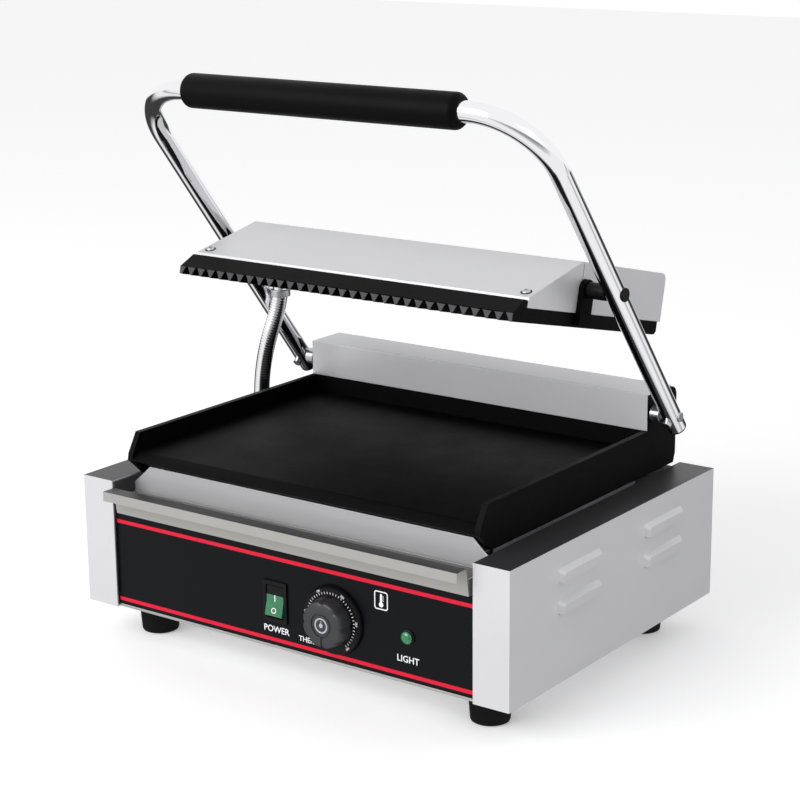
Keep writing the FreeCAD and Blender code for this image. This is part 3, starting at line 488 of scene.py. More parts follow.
def round_corners(x0, z0, x1, z1, radius, steps=6):
    """Points of a rounded rectangle, anticlockwise from its lower left corner."""
    points = []
    for centre_x, centre_z, start in ((x0 + radius, z0 + radius, 180), (x1 - radius, z0 + radius, 270),
                                      (x1 - radius, z1 - radius, 0), (x0 + radius, z1 - radius, 90)):
        for step in range(steps + 1):
            across, up = around(radius, math.radians(start + 90 * step / steps))
            points.append((centre_x + across, centre_z + up))
    return points


def ring_plate(shape, outer, inner, y, thick):
    """Add a flat frame between two outlines of the same number of points."""
    rows = [[shape.verts.new((x, depth, z)) for x, z in line]
            for line, depth in ((outer, y - thick), (inner, y - thick), (inner, y), (outer, y))]
    for first, second in zip(rows, rows[1:] + rows[:1]):
        for step in range(len(outer)):
            after = (step + 1) % len(outer)
            shape.faces.new([first[step], second[step], second[after], first[after]])
    bmesh.ops.recalc_face_normals(shape, faces=shape.faces)


def lettering(words, tall, place, spin=0.0, lean=0.0, thick=0.04 * MM):
    """A printed word as a mesh: centred on a place, reading from the front, turned by spin and leant back."""
    text = bpy.data.curves.new("lettering", "FONT")
    text.body = words
    text.size = tall
    text.extrude = thick / 2
    text.offset = tall * 0.01
    text.align_x = "CENTER"
    text.align_y = "CENTER"
    text.resolution_u = 3
    mesh = settled(placed("lettering", text))
    upright = Matrix.Rotation(math.pi / 2 - lean, 4, "X")
    mesh.transform(Matrix.Translation(place) @ Matrix.Rotation(spin, 4, "Y") @ upright)
    return mesh


def gather(meshes):
    """Several meshes as one bmesh."""
    shape = bmesh.new()
    for mesh in meshes:
        shape.from_mesh(mesh)
        bpy.data.meshes.remove(mesh)
    return shape


# ------------------------------------------------------------------ geometry nodes

KINDS = {"size": "NodeSocketFloat", "count": "NodeSocketInt", "object": "NodeSocketObject"}


def rule(name, inputs):
    """A geometry tree with named inputs: (tree, its inputs)."""
    tree = bpy.data.node_groups.new(name, "GeometryNodeTree")
    tree.interface.new_socket("Geometry", in_out="INPUT", socket_type="NodeSocketGeometry")
    for label, kind in inputs:
        tree.interface.new_socket(label, in_out="INPUT", socket_type=KINDS[kind])
    tree.interface.new_socket("Geometry", in_out="OUTPUT", socket_type="NodeSocketGeometry")
    return tree, add(tree, "NodeGroupInput").outputs


def close_rule(tree, geometry, finish_material):
    """End a tree in Realize Instances, Set Material and the output."""
    whole = add(tree, "GeometryNodeRealizeInstances", {"Geometry": geometry})
    painted = add(tree, "GeometryNodeSetMaterial", {"Geometry": whole.outputs["Geometry"],
                                                    "Material": finish_material})
    add(tree, "NodeGroupOutput", {"Geometry": painted.outputs["Geometry"]})


def grown(tree, host, **inputs):
    """The plain mesh that a tree makes on a host mesh or curve."""
    carrier = placed("carrier", host)
    modifier = carrier.modifiers.new("rule", "NODES")
    modifier.node_group = tree
    for item in tree.interface.items_tree:
        if item.in_out == "INPUT" and item.name in inputs:
            modifier[item.identifier] = inputs[item.name]
    return settled(carrier)


def head_rule(finish_material):
    """Heads on points: each stands along its point's facing vector and is scaled by its point's size."""
    tree, given = rule("heads on points", (("Head", "object"),))
    head = add(tree, "GeometryNodeObjectInfo", {"Object": given["Head"], "As Instance": True})
    facing = add(tree, "GeometryNodeInputNamedAttribute", {"Name": "facing"}, data_type="FLOAT_VECTOR")
    wide = add(tree, "GeometryNodeInputNamedAttribute", {"Name": "wide"}, data_type="FLOAT")
    turn = add(tree, "FunctionNodeAlignRotationToVector", {"Vector": facing.outputs["Attribute"]}, axis="Z")
    heads = add(tree, "GeometryNodeInstanceOnPoints",
                {"Points": given["Geometry"], "Instance": head.outputs["Geometry"],
                 "Rotation": turn.outputs["Rotation"], "Scale": wide.outputs["Attribute"]})
    close_rule(tree, heads.outputs["Instances"], finish_material)
    return tree


def points_mesh(spots):
    """Points for the heads: (place, facing, size) each."""
    mesh = bpy.data.meshes.new("spots")
    mesh.from_pydata([spot[0] for spot in spots], [], [])
    mesh.attributes.new("facing", "FLOAT_VECTOR", "POINT")
    mesh.attributes.new("wide", "FLOAT", "POINT")
    for index, (_, direction, size) in enumerate(spots):
        mesh.attributes["facing"].data[index].vector = direction
        mesh.attributes["wide"].data[index].value = size
    return mesh


def cross_head():
    """A pan head of radius 1 with a cross recess, its underside on the ground."""
    profile = [(0, 0), (0, 1), (0.12, 1.0), (0.3, 0.93), (0.46, 0.76), (0.55, 0.5), (0.58, 0)]
    head = mesh_of(lathe(profile, Vector(), Z, 40), crease=50)
    carrier = placed("head", head)
    cross = bmesh.new()
    slab(cross, (-0.52, -0.1, 0.3), (0.52, 0.1, 0.9))
    slab(cross, (-0.1, -0.52, 0.31), (0.1, 0.52, 0.91))
    tool = placed("cross", mesh_of(cross, smooth=False))
    recess = carrier.modifiers.new("recess", "BOOLEAN")
    recess.object = tool
    recess.solver = "EXACT"
    recess.use_self = True
    mesh = settled(carrier)
    bpy.data.objects.remove(tool)
    mesh.shade_smooth()
    mesh.set_sharp_from_angle(angle=math.radians(35))
    return mesh


def fix_screws(name, spots, body, maker, nodes):
    """Cross-recessed screw heads, one piece for each body."""
    head = placed("screw head", cross_head())
    mesh = grown(head_rule(material(maker)), points_mesh(spots), Head=head)
    bpy.data.objects.remove(head)
    return piece(name, mesh, body, maker, nodes=nodes)


def dial_rule(finish_material):
    """Short radial marks, evenly spaced on an arc in the XY plane."""
    sized = [(label, "size") for label in ("Radius", "Start", "Sweep", "Long", "Wide", "Thick")]
    tree, given = rule("dial marks", [("Marks", "count")] + sized)
    arc = add(tree, "GeometryNodeCurveArc",
              {"Resolution": given["Marks"], "Radius": given["Radius"],
               "Start Angle": given["Start"], "Sweep Angle": given["Sweep"]})
    points = add(tree, "GeometryNodeCurveToPoints", {"Curve": arc.outputs["Curve"]}, mode="EVALUATED")
    gaps = add(tree, "ShaderNodeMath", {0: given["Marks"], 1: 1.0}, operation="SUBTRACT")
    step = add(tree, "ShaderNodeMath", {0: given["Sweep"], 1: gaps.outputs["Value"]}, operation="DIVIDE")
    count = add(tree, "GeometryNodeInputIndex")
    angle = add(tree, "ShaderNodeMath", {0: count.outputs["Index"], 1: step.outputs["Value"],
                                         2: given["Start"]}, operation="MULTIPLY_ADD")
    turned = add(tree, "ShaderNodeCombineXYZ", {"Z": angle.outputs["Value"]})
    size = add(tree, "ShaderNodeCombineXYZ", {"X": given["Long"], "Y": given["Wide"],
                                              "Z": given["Thick"]})
    mark = add(tree, "GeometryNodeMeshCube", {"Size": size.outputs["Vector"]})
    marks = add(tree, "GeometryNodeInstanceOnPoints",
                {"Points": points.outputs["Points"], "Instance": mark.outputs["Mesh"],
                 "Rotation": turned.outputs["Vector"]})
    close_rule(tree, marks.outputs["Instances"], finish_material)
    return tree


def hose_rule(finish_material):
    """A strip-wound hose along a curve: its radius rises and falls once for each winding."""
    tree, given = rule("strip-wound hose", (("Radius", "size"), ("Wave", "size"), ("Pitch", "size"),
                                            ("Sides", "count")))
    samples = 8.0  # in one winding
    step = add(tree, "ShaderNodeMath", {0: given["Pitch"], 1: samples}, operation="DIVIDE")
    fine = add(tree, "GeometryNodeResampleCurve",
               {"Curve": given["Geometry"], "Length": step.outputs["Value"]}, mode="LENGTH")
    along = add(tree, "GeometryNodeSplineParameter")
    turns = add(tree, "ShaderNodeMath", {0: along.outputs["Length"], 1: given["Pitch"]},
                operation="DIVIDE")
    phase = add(tree, "ShaderNodeMath", {0: turns.outputs["Value"], 1: 2 * math.pi}, operation="MULTIPLY")
    wave = add(tree, "ShaderNodeMath", {0: phase.outputs["Value"]}, operation="SINE")
    radius = add(tree, "ShaderNodeMath", {0: wave.outputs["Value"], 1: given["Wave"],
                                          2: given["Radius"]}, operation="MULTIPLY_ADD")
    ring = add(tree, "GeometryNodeCurvePrimitiveCircle",
               {"Resolution": given["Sides"], "Radius": 1.0})
    hose = add(tree, "GeometryNodeCurveToMesh",
               {"Curve": fine.outputs["Curve"], "Profile Curve": ring.outputs["Curve"],
                "Scale": radius.outputs["Value"], "Fill Caps": True})
    close_rule(tree, hose.outputs["Mesh"], finish_material)
    return tree


def hose(name, points, radius, first, second):
    """A hose through points that stands for the frame node of its name; first and second, the two bodies it
    runs between, are not used.
    """
    line = bpy.data.curves.new(name, "CURVE")
    line.dimensions = "3D"
    spline = line.splines.new("NURBS")
    spline.points.add(len(points) - 1)
    for point, place in zip(spline.points, points):
        point.co = (*place, 1.0)
    spline.order_u = 4
    spline.use_endpoint_u = True
    spline.resolution_u = 16
    mesh = grown(hose_rule(material(chromium_plate)), line, Radius=radius - sizes().hose_wave / 2,
                 Wave=sizes().hose_wave / 2, Pitch=sizes().hose_pitch, Sides=40)
    mesh.shade_smooth()
    mesh.set_sharp_from_angle(angle=math.radians(60))
    mesh.name = name
    thing = placed(name, mesh)
    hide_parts(name)
    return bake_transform(thing)


def tube_end(node, upper):
    """Middle and outward direction of the upper or lower flat end of a frame tube."""
    flats = {}
    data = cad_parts[node].data
    for face in data.polygons:
        key = tuple(round(value, 2) for value in face.normal) + (round(face.normal.dot(face.center), 4),)
        flats.setdefault(key, []).append(face)
    ends = sorted(flats.values(), key=len)[-2:]
    corners = [{tuple(data.vertices[index].co) for face in end for index in face.vertices} for end in ends]
    middles = [sum((Vector(corner) for corner in found), Vector()) / len(found) for found in corners]
    pick = max(range(2), key=lambda index: middles[index].z if upper else -middles[index].z)
    return middles[pick], ends[pick][0].normal.copy()


# ------------------------------------------------------------------ operators

class Build(bpy.types.Operator):
    """Shared by the operators that make pieces"""
    bl_options = {"REGISTER", "UNDO"}

    def execute(self, context):
        self.make()
        return {"FINISHED"}


class PRESS_OT_housings(Build):
    """Side housings: folded stainless boxes with pressed louvres"""
    bl_idname = "press.housings"
    bl_label = "Side housings"

    def make(self):
        for side in ("left", "right"):
            shell = rounded("housing_%s_shell" % side, side + "_housing", "base", sizes().fold,
                            brushed_stainless, "y")
            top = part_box(side + "_housing")[1].z
            # The housing tops take the dark steel: painted shade.
            second_finish(shell, lambda face: face.normal.z > 0.99 and face.center.z > top - 0.2 * MM,
                          brushed_stainless, "y", "shaded_steel")


class PRESS_OT_sheets(Build):
    """Base pan, rear sheet, apron and the bare edge under the panel"""
    bl_idname = "press.sheets"
    bl_label = "Base sheets"

    def make(self):
        for name, node, edge, *tone in (("apron_sheet", "front_apron", 0.4),
                                        # The edge strip takes the darker tray steel: painted shade.
                                        ("edge_strip", "front_edge_strip", 0.3, "tray_steel"),
                                        ("rear_sheet", "rear_panel", 0.4), ("pan_sheet", "base_pan", 0.4)):
            rounded(name, node, "base", edge * MM, brushed_stainless, "x", *tone)
        rounded("mains_gland", "cable_gland", "base", 0.5 * MM, moulded, "moulding")


class PRESS_OT_panel(Build):
    """Control panel with its printed stripes, thermometer sign and words"""
    bl_idname = "press.panel"
    bl_label = "Control panel"

    def make(self):
        dress("front_panel", gloss_overlay)
        low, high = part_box("front_panel")
        ink = sizes().print_thick
        stripes = bmesh.new()
        margin, band = 0.4 * MM, 3.1 * MM
        for z in (33.4 * MM, 99.4 * MM):
            slab(stripes, (low.x + margin, PANEL_FACE - ink, z), (high.x - margin, PANEL_FACE, z + band))
        printed("panel_stripes", stripes, "base", "stripe")
        sign = bmesh.new()
        left, bottom, right, top = 84.6 * MM, 81.0 * MM, 97.0 * MM, 95.4 * MM
        line = 0.9 * MM
        inside = round_corners(left + line, bottom + line, right - line, top - line, 1.4 * MM)
        ring_plate(sign, round_corners(left, bottom, right, top, 2.2 * MM), inside, PANEL_FACE, ink)
        centre, bulb = (left + right) / 2, bottom + 4 * MM
        stem = round_corners(centre - line, bulb, centre + line, top - 2 * MM, 0.88 * MM)
        outline_plate(sign, stem, PANEL_FACE, ink)
        outline_plate(sign, circle((centre, bulb), 2 * MM, 24), PANEL_FACE, 1.2 * ink)
        for step in range(3):
            z = bottom + (7 + 1.6 * step) * MM
            mark = round_corners(centre + 1.3 * MM, z, centre + 2.6 * MM, z + 0.5 * MM, 0.2 * MM, 2)
            outline_plate(sign, mark, PANEL_FACE, ink)
        printed("panel_sign", sign, "base", "print_white")
        words = (("POWER", 7.2, middle("switch_body").x, 43.2),
                 ("THERMO", 6.0, middle("knob_skirt").x - 22.4 * MM, 41.4),
                 ("LIGHT", 7.2, middle("lamp_lens").x, 47.0))
        meshes = [lettering(word, tall * MM, (x, PANEL_FACE - 0.03 * MM, z * MM))
                  for word, tall, x, z in words]
        printed("panel_words", gather(meshes), "base", "print_white")


class PRESS_OT_switch(Build):
    """Rocker switch: bezel, green rocker and its two marks"""
    bl_idname = "press.switch"
    bl_label = "Rocker switch"

    def make(self):
        rounded("switch_bezel", "switch_body", "base", 0.6 * MM, moulded, "moulding")
        low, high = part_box("rocker")
        # The top of the rocker is drawn in black moulding: painted shade under the bezel's top.
        parting = high.z - 0.3 * (high.z - low.z)
        rocker = rounded("switch_rocker", "rocker", "rocker_body", 0.8 * MM, green_lens, "green",
                         steps=3, sharp=20, parting=parting)
        second_finish(rocker, lambda face: face.center.z > parting, moulded, "moulding")
        marks = []
        front = [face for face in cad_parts["rocker"].data.polygons if face.normal.y < -0.8]
        for sign, tall, z in (("I", 7.4, 2.6), ("O", 6.4, -6.8)):
            spot = middle("switch_body") + Vector((0, 0, z * MM))
            face = min(front, key=lambda face: abs(face.center.z - spot.z) - face.area * 1e3)
            spot.y = face.center.y - (spot.z - face.center.z) * face.normal.z / face.normal.y - 0.05 * MM
            marks.append(lettering(sign, tall * MM, spot, lean=math.asin(face.normal.z)))
        printed("rocker_marks", gather(marks), "rocker_body", "print_white")


class PRESS_OT_knob(Build):
    """Thermostat knob: graduated skirt, fluted grip with a cap, and the shaft"""
    bl_idname = "press.knob"
    bl_label = "Thermostat knob"

    def make(self):
        low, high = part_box("knob_skirt")
        centre = (low + high) / 2
        radius = (high.x - low.x) / 2
        face = low.y
        out = -Y
        deep = high.y - face
        bore = 3.1 * MM
        skirt = [(0, bore), (0, radius), (1.2 * MM, radius), (deep - 0.5 * MM, radius - 1.3 * MM),
                 (deep, radius - 1.8 * MM), (deep, bore)]
        at = Vector((centre.x, high.y, centre.z))
        piece("dial_skirt", mesh_of(lathe(skirt, at, out, 96)), "knob", moulded, "moulding",
              nodes=("knob_skirt",))
        start, sweep = math.radians(-50), math.radians(280)
        marks = grown(dial_rule(material(printed_ink, "print_white")), bpy.data.meshes.new("host"),
                      Marks=sizes().dial_marks, Radius=radius - 5.2 * MM, Start=start, Sweep=sweep,
                      Long=1.7 * MM, Wide=0.42 * MM, Thick=0.2 * MM)
        marks.transform(Matrix.Translation((centre.x, face, centre.z)) @ Matrix.Rotation(math.pi / 2, 4, "X"))
        numbers = []
        for index, degrees in enumerate(("300", "250", "200", "150", "100", "50")):
            angle = start + sweep * index / 5
            across, up = around(radius - 3 * MM, angle)
            spot = Vector((centre.x + across, face - 0.05 * MM, centre.z + up))
            numbers.append(lettering(degrees, 2.5 * MM, spot, spin=math.pi / 2 - angle))
        printed("dial_print", gather([marks] + numbers), "knob", "print_white")
        grip_low, grip_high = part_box("knob_grip")
        deep = grip_high.y - grip_low.y
        wide = (grip_high.x - grip_low.x) / 2
        count = sizes().flutes

        def flute(turn, reach):
            if reach < wide * 0.8:
                return reach
            return reach - 1.3 * MM * max(0.0, math.cos(count * turn)) ** 2

        body = [(0, 0), (0, wide), (1 * MM, wide), (deep - 1.4 * MM, wide - 1.3 * MM),
                (deep - 0.5 * MM, wide - 1.9 * MM), (deep, wide - 3.0 * MM), (deep, 9.6 * MM),
                (deep - 0.9 * MM, 9.2 * MM), (deep - 0.9 * MM, 8.2 * MM), (deep - 0.2 * MM, 7.8 * MM),
                (deep - 0.2 * MM, 0)]
        at = Vector((centre.x, grip_high.y, centre.z))
        fluted = mesh_of(lathe(body, at, out, 144, flute), crease=40)
        # The grip's lighter knob tone is a painted highlight.
        piece("knob_fluted_grip", fluted, "knob", moulded, "knob", nodes=("knob_grip",))
        badge = bmesh.new()
        recess, raised = 0.2 * MM, 0.25 * MM
        top = grip_low.y + recess
        circles = [circle((centre.x, centre.z), reach * MM, 40) for reach in (6.0, 4.8, 1.7)]
        ring_plate(badge, circles[0], circles[1], top, raised)
        outline_plate(badge, circles[2], top, raised)
        slab(badge, (centre.x - 0.35 * MM, top - raised, centre.z + 1.5 * MM),
             (centre.x + 0.35 * MM, top, centre.z + 3.6 * MM))
        printed("knob_badge", badge, "knob", "emblem")
        # A black line down the grip stands for the pointer notch: painted shade in the groove.
        notch_shade = bmesh.new()
        slab(notch_shade, (centre.x - 0.5 * MM, grip_low.y - 0.12 * MM, centre.z - wide + 3 * MM),
             (centre.x + 0.5 * MM, top, centre.z - 9.8 * MM))
        printed("knob_pointer", notch_shade, "knob", "coating")
        dress("thermostat_shaft", zinc_plate)
        dress("thermostat_body", zinc_plate)


class PRESS_OT_lamp(Build):
    """Pilot lamp: a domed green lens in a collar"""
    bl_idname = "press.lamp"
    bl_label = "Pilot lamp"

    def make(self):
        low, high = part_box("lamp_lens")
        centre = (low + high) / 2
        reach = (high.x - low.x) / 2
        deep = high.y - low.y
        root, dome_reach = 1.4 * MM, reach - 1.2 * MM
        lens = [(0, 0), (0, reach), (0.9 * MM, reach), (root, reach - 0.6 * MM), (root, dome_reach)]
        for step in range(1, 9):
            angle = math.pi / 2 * step / 8
            lens.append((root + (deep - root) * math.sin(angle), dome_reach * math.cos(angle)))
        lens[-1] = (deep, 0)
        turned = mesh_of(lathe(lens, Vector((centre.x, high.y, centre.z)), -Y, 48), crease=50)
        dome = piece("lamp_dome", turned, "base", green_lens, "lamp", nodes=("lamp_lens",))
        collar = reach - 1.3 * MM
        second_finish(dome, lambda face: (face.center - centre).xz.length > collar, moulded, "moulding")
        dress("lamp_body", moulded, "moulding")


class PRESS_OT_feet(Build):
    """Four rubber feet with rounded rims"""
    bl_idname = "press.feet"
    bl_label = "Feet"

    def make(self):
        for end in ("front", "rear"):
            for side in ("left", "right"):
                node = "foot_%s_%s" % (end, side)
                low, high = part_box(node)
                tall = high.z
                well, screw_hole, well_top = 6 * MM, 2.6 * MM, 12 * MM
                profile = [(0, well), (0, 13.6 * MM), (0.5 * MM, 14.6 * MM), (1.6 * MM, 15.1 * MM),
                           (tall - 4 * MM, 16.9 * MM), (tall - 3.6 * MM, 17.4 * MM),
                           (tall - 0.5 * MM, 17.5 * MM), (tall, 17.1 * MM), (tall, screw_hole),
                           (well_top, screw_hole), (well_top, well)]
                place = Vector(((low.x + high.x) / 2, (low.y + high.y) / 2, 0))
                rubber = mesh_of(lathe(profile, place, Z, 64))
                piece("rubber_" + node, rubber, "base", foot_rubber, nodes=(node,))
                dress("foot_screw_%s_%s" % (end, side), zinc_plate)


class PRESS_OT_lower_plate(Build):
    """Lower casting and its two hinge ears"""
    bl_idname = "press.lower_plate"
    bl_label = "Lower plate"

    def make(self):
        rounded("lower_casting", "lower_plate", "base", sizes().cast_edge, coated_iron, 0.9,
                steps=3, sharp=25)
        for side in ("left", "right"):
            rounded("hinge_ear_" + side, "hinge_bracket_" + side, "base", 1 * MM, coated_iron, 0.9, steps=3)


class PRESS_OT_rear_cover(Build):
    """Folded cover over the hinge shaft and the two balance springs"""
    bl_idname = "press.rear_cover"
    bl_label = "Rear cover and springs"

    def make(self):
        rounded("rear_channel", "rear_cover", "base", sizes().fold, brushed_stainless, "x")
        for side in ("left", "right"):
            node = "balance_spring_" + side
            low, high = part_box(node)
            reach = (high.z - low.z) / 2
            tree, given = rule("wound spring", (("Turns", "size"), ("Radius", "size"), ("Wire", "size"),
                                                ("Long", "size"), ("Steps", "count")))
            helix = add(tree, "GeometryNodeCurveSpiral",
                        {"Resolution": given["Steps"], "Rotations": given["Turns"],
                         "Start Radius": given["Radius"], "End Radius": given["Radius"],
                         "Height": given["Long"]})
            wire = add(tree, "GeometryNodeCurvePrimitiveCircle",
                       {"Resolution": 10, "Radius": given["Wire"]})
            wound = add(tree, "GeometryNodeCurveToMesh",
                        {"Curve": helix.outputs["Curve"], "Profile Curve": wire.outputs["Curve"],
                         "Fill Caps": True})
            close_rule(tree, wound.outputs["Mesh"], material(zinc_plate))
            thick = sizes().wire
            turns = int((high.x - low.x - thick) / sizes().coil_pitch)
            mesh = grown(tree, bpy.data.meshes.new("host"), Turns=float(turns), Radius=reach - thick / 2,
                         Wire=thick / 2, Long=high.x - low.x - thick, Steps=24)
            start = Vector((low.x + thick / 2, (low.y + high.y) / 2, (low.z + high.z) / 2))
            mesh.transform(Matrix.Translation(start) @ Matrix.Rotation(math.pi / 2, 4, "Y"))
            mesh.shade_smooth()
            piece("wound_spring_" + side, mesh, "base", zinc_plate, nodes=(node,))


class PRESS_OT_heating(Build):
    """Elements, bulb, shield and terminals inside the base and the upper plate"""
    bl_idname = "press.heating"
    bl_label = "Heating parts"

    def make(self):
        for node in ("lower_element", "upper_element"):
            dress(node, heated_sheath)
        for node in ("heat_shield", "plate_support_left", "plate_support_right"):
            dress(node, brushed_stainless, "y")
        dress("sensing_bulb", zinc_plate)
        dress("terminal_block", moulded, "moulding")


class PRESS_OT_tray(Build):
    """Drip tray with its folded flange"""
    bl_idname = "press.tray"
    bl_label = "Drip tray"

    def make(self):
        # The tray is drawn in the darker steel: painted shade.
        tray = rounded("tray_sheet", "drip_tray", "tray", 0.4 * MM, brushed_stainless, "x", "tray_steel")
        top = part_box("drip_tray")[1].z
        # The tray's top faces take the dark steel: painted shade, as on the housing tops.
        second_finish(tray, lambda face: face.normal.z > 0.99 and face.center.z > top - 0.2 * MM,
                      brushed_stainless, "x", "shaded_steel")


class PRESS_OT_handle(Build):
    """Chromed handle tube, its plugs, shaft and pivot bolts"""
    bl_idname = "press.handle"
    bl_label = "Handle"

    def make(self):
        dress("handle_tube", chromium_plate)
        rounded("shaft_and_collars", "hinge_shaft", "handle", 0.6 * MM, zinc_plate)
        for side in ("left", "right"):
            rounded("tube_plug_" + side, "end_plug_" + side, "handle", 0.5 * MM, moulded, "moulding")
            rounded("pivot_cap_" + side, "pivot_bolt_" + side, "handle", 0.7 * MM, moulded, "moulding",
                    steps=3)


class PRESS_OT_grip(Build):
    """Foam grip sleeve with turned-in ends"""
    bl_idname = "press.grip"
    bl_label = "Grip"

    def make(self):
        low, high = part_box("grip")
        reach = (high.z - low.z) / 2
        long = high.x - low.x
        bore = 8.05 * MM
        end = 5.5 * MM
        profile = [(0.4 * MM, bore)]
        for step in range(7):
            angle = math.pi / 2 * step / 6
            inward, outward = around(end, angle)
            profile.append((end - inward if step else 0.0, reach - end + outward))
        body = profile + [(long - along, radius) for along, radius in reversed(profile)]
        place = Vector((low.x, (low.y + high.y) / 2, (low.z + high.z) / 2))
        piece("grip_sleeve", mesh_of(lathe(body, place, X, 72)), "handle", foam_sleeve, nodes=("grip",))


class PRESS_OT_upper_plate(Build):
    """Ribbed upper casting and its two lugs"""
    bl_idname = "press.upper_plate"
    bl_label = "Upper plate"

    def make(self):
        casting = rounded("upper_casting", "upper_plate", "upper_plate_body", 0.5 * MM, coated_iron, 0.8,
                          sharp=28)
        # The casting's front faces, the rib ends, take the lighter finish: painted highlight.
        front = min(casting.data.polygons, key=lambda face: face.center.y)
        second_finish(casting, lambda face: face.normal.dot(front.normal) > 0.999
                      and (face.center - front.center).dot(front.normal) > -0.5 * MM, highlit_rib_ends)
        for side in ("left", "right"):
            rounded("casting_lug_" + side, "lug_" + side, "upper_plate_body", 0.9 * MM, coated_iron, 0.8,
                    steps=3)


class PRESS_OT_upper_cover(Build):
    """Upper cover in two folded sheets"""
    bl_idname = "press.upper_cover"
    bl_label = "Upper cover"

    def make(self):
        rounded("cover_ramp", "upper_cover_front", "upper_plate_body", sizes().fold, brushed_stainless, "x")
        rounded("cover_box", "upper_cover_rear", "upper_plate_body", sizes().fold, brushed_stainless, "x")


class PRESS_OT_screws(Build):
    """Cross-recessed screws on the upper cover and under the arms"""
    bl_idname = "press.screws"
    bl_label = "Screws"

    def make(self):
        cover = []
        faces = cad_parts["upper_cover_front"].data.polygons
        up = max((face for face in faces if face.normal.z > 0.9), key=lambda face: face.area).normal.copy()
        for side in ("left", "right"):
            low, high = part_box("cover_screw_" + side)
            cover.append(((low + high) / 2 - up * 0.9 * MM, up, 3.3 * MM))
        fix_screws("cover_screw_heads", cover, "upper_plate_body", zinc_plate,
                   ("cover_screw_left", "cover_screw_right"))
        hole, thick = 3.0 * MM, 0.3 * MM
        flat = [(0, hole), (0, 4.5 * MM), (thick, 4.4 * MM), (thick, hole)]
        washers = [mesh_of(lathe(flat, Vector(place), up, 40), smooth=False) for place, _, _ in cover]
        piece("cover_screw_washers", mesh_of(gather(washers), smooth=False), "upper_plate_body", moulded,
              "moulding")
        for side in ("left", "right"):
            dress("clamp_screw_" + side, zinc_plate)


class PRESS_OT_conduit(Build):
    """Strip-wound conduit, its gland, clip and elbow"""
    bl_idname = "press.conduit"
    bl_label = "Conduit"

    def make(self):
        rounded("conduit_base_gland", "conduit_gland", "base", 0.8 * MM, chromium_plate)
        rounded("conduit_band", "conduit_clip", "handle", 0.5 * MM, zinc_plate)
        rounded("cover_elbow", "conduit_elbow", "upper_plate_body", 0.9 * MM, zinc_plate)
        foot, clip = tube_end("conduit_lower", False)[0], tube_end("conduit_lower", True)[0]
        rise = [(0, 0, 0), (0, 0, 14), (1.4, -0.3, 30), (5.0, 0.1, 50), (9.8, 1.2, 68)]
        lower = [foot + Vector(step) * MM for step in rise]
        lower += [clip + Vector((-2.6, -1.8, -18)) * MM, clip + Vector((-0.6, -0.4, -6)) * MM, clip]
        start, end = tube_end("conduit_upper", False), tube_end("conduit_upper", True)
        run = (end[0] - start[0]).length
        upper = [start[0], start[0] - start[1] * run * 0.35, end[0] - end[1] * run * 0.35, end[0]]
        low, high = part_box("conduit_gland")
        gland_wall = 4 * MM
        radius = (high.x - low.x) / 2 - gland_wall
        hose("conduit_lower", lower, radius, "base", "handle")
        hose("conduit_upper", upper, radius, "handle", "upper_plate_body")


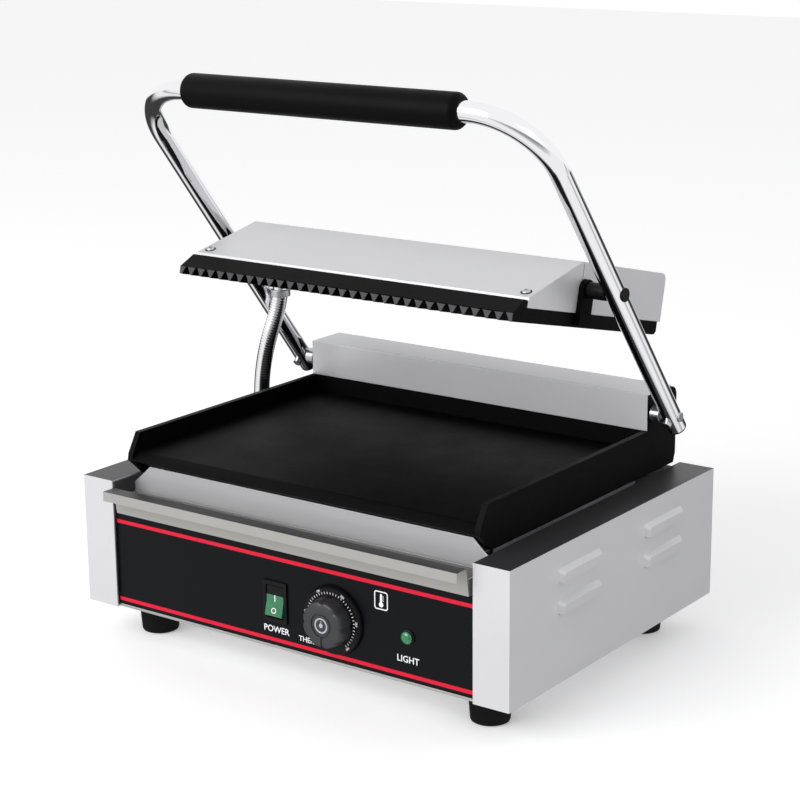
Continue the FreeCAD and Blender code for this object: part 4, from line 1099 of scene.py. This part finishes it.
class PRESS_OT_stage(Build):
    """Floor, soft lights and the camera"""
    bl_idname = "press.stage"
    bl_label = "Stage"

    def make(self):
        scene = bpy.context.scene
        scene.view_settings.view_transform = "Standard"
        scene.view_settings.look = "None"
        floor = bmesh.new()
        bmesh.ops.create_grid(floor, x_segments=1, y_segments=1, size=6)
        ground = placed("floor", mesh_of(floor, smooth=False))
        paper = finish("white paper floor", linear("#FAFAFA"), 0.9, Emission_Color=(1, 1, 1, 1),
                       Emission_Strength=0.22)[0]
        ground.visible_glossy = False
        ground.data.materials.append(paper)
        ground.location.z = -0.0002
        world = bpy.data.worlds.new("studio")
        scene.world = world
        world.use_nodes = True
        tree = world.node_tree
        white = (1, 1, 1, 1)
        ahead = add(tree, "ShaderNodeNewGeometry")
        # Grey bands round the line of sight, below the horizon. Only reflections see them: they are the
        # streaks in the chrome.
        facing = add(tree, "ShaderNodeVectorMath", {0: ahead.outputs["Incoming"], 1: (0.57, -0.78, 0.26)},
                     operation="DOT_PRODUCT")
        spread = add(tree, "ShaderNodeMapRange", {"Value": facing.outputs["Value"], "From Min": -1.0})
        flags = add(tree, "ShaderNodeValToRGB", {"Fac": spread.outputs["Result"]})
        flags.color_ramp.elements[0].color = (0.25, 0.25, 0.26, 1)
        flags.color_ramp.elements[1].color = (1, 1, 1, 1)
        for spot, grey in ((0.08, 0.35), (0.2, 0.95), (0.5, 0.95), (0.55, 0.42), (0.6, 0.95), (0.67, 0.9),
                           (0.75, 0.05), (0.92, 0.05), (0.96, 1.0)):
            flags.color_ramp.elements.new(spot).color = (grey, grey, grey, 1)
        axes = add(tree, "ShaderNodeSeparateXYZ", {"Vector": ahead.outputs["Incoming"]})
        below = add(tree, "ShaderNodeMapRange",
                    {"Value": axes.outputs["Z"], "From Min": 0.0, "From Max": 0.06})
        low_flags = add(tree, "ShaderNodeMix", {"Factor": below.outputs["Result"], 6: white,
                                                7: flags.outputs["Color"]}, data_type="RGBA")
        ray = add(tree, "ShaderNodeLightPath")
        soft = add(tree, "ShaderNodeMix", {"Factor": ray.outputs["Is Glossy Ray"], 6: (0.7, 0.7, 0.71, 1),
                                           7: low_flags.outputs[2]}, data_type="RGBA")
        seen = add(tree, "ShaderNodeMix", {"Factor": ray.outputs["Is Camera Ray"], 6: soft.outputs[2],
                                           7: white}, data_type="RGBA")
        tree.links.new(seen.outputs[2], tree.nodes["Background"].inputs["Color"])
        for name, place, size, power in (("key", (-0.9, -2.3, 1.3), 1.8, 44),
                                         ("fill", (1.9, -0.9, 1.2), 1.4, 1)):
            light = bpy.data.lights.new(name, "AREA")
            light.size = size
            light.energy = power
            lamp = placed(name, light)
            lamp.location = place
            lamp.rotation_mode = "QUATERNION"
            lamp.rotation_quaternion = (Vector((0, 0, 0.2)) - Vector(place)).to_track_quat("-Z", "Y")
        lens = bpy.data.cameras.new("camera")
        lens.lens = 93.1
        lens.sensor_width = 36
        lens.clip_end = 50
        eye = placed("camera", lens)
        yaw, down, roll = math.radians(36.12), math.radians(14.84), math.radians(-0.51)
        eye.matrix_world = (Matrix.Translation((0.9454, -1.2923, 0.61885)) @ Matrix.Rotation(yaw, 4, "Z")
                            @ Matrix.Rotation(math.pi / 2 - down, 4, "X") @ Matrix.Rotation(roll, 4, "Z"))
        scene.camera = eye


STEPS = (PRESS_OT_housings, PRESS_OT_sheets, PRESS_OT_panel, PRESS_OT_switch, PRESS_OT_knob, PRESS_OT_lamp,
         PRESS_OT_feet, PRESS_OT_lower_plate, PRESS_OT_rear_cover, PRESS_OT_heating, PRESS_OT_tray,
         PRESS_OT_handle, PRESS_OT_grip, PRESS_OT_upper_plate, PRESS_OT_upper_cover, PRESS_OT_screws,
         PRESS_OT_conduit, PRESS_OT_stage)


class PRESS_PT_pieces(bpy.types.Panel):
    """Lists the pieces, their sizes and their colours"""
    bl_idname = "PRESS_PT_pieces"
    bl_label = "Panini press"
    bl_space_type = "VIEW_3D"
    bl_region_type = "UI"
    bl_category = "Panini press"

    def draw(self, context):
        for step in STEPS:
            self.layout.operator(step.bl_idname)
        for group in (context.scene.press_sizes, context.scene.press_colours):
            for name in group.__annotations__:
                self.layout.prop(group, name)


CLASSES = (PressColours, PressSizes, *STEPS, PRESS_PT_pieces)


def register():
    for made in CLASSES:
        bpy.utils.register_class(made)
    bpy.types.Scene.press_colours = bpy.props.PointerProperty(type=PressColours)
    bpy.types.Scene.press_sizes = bpy.props.PointerProperty(type=PressSizes)


def unregister():
    del bpy.types.Scene.press_colours, bpy.types.Scene.press_sizes
    for made in reversed(CLASSES):
        bpy.utils.unregister_class(made)


def main():
    register()
    for step in STEPS:
        group, name = step.bl_idname.split(".")
        getattr(getattr(bpy.ops, group), name)()


if __name__ == "__main__":
    main()
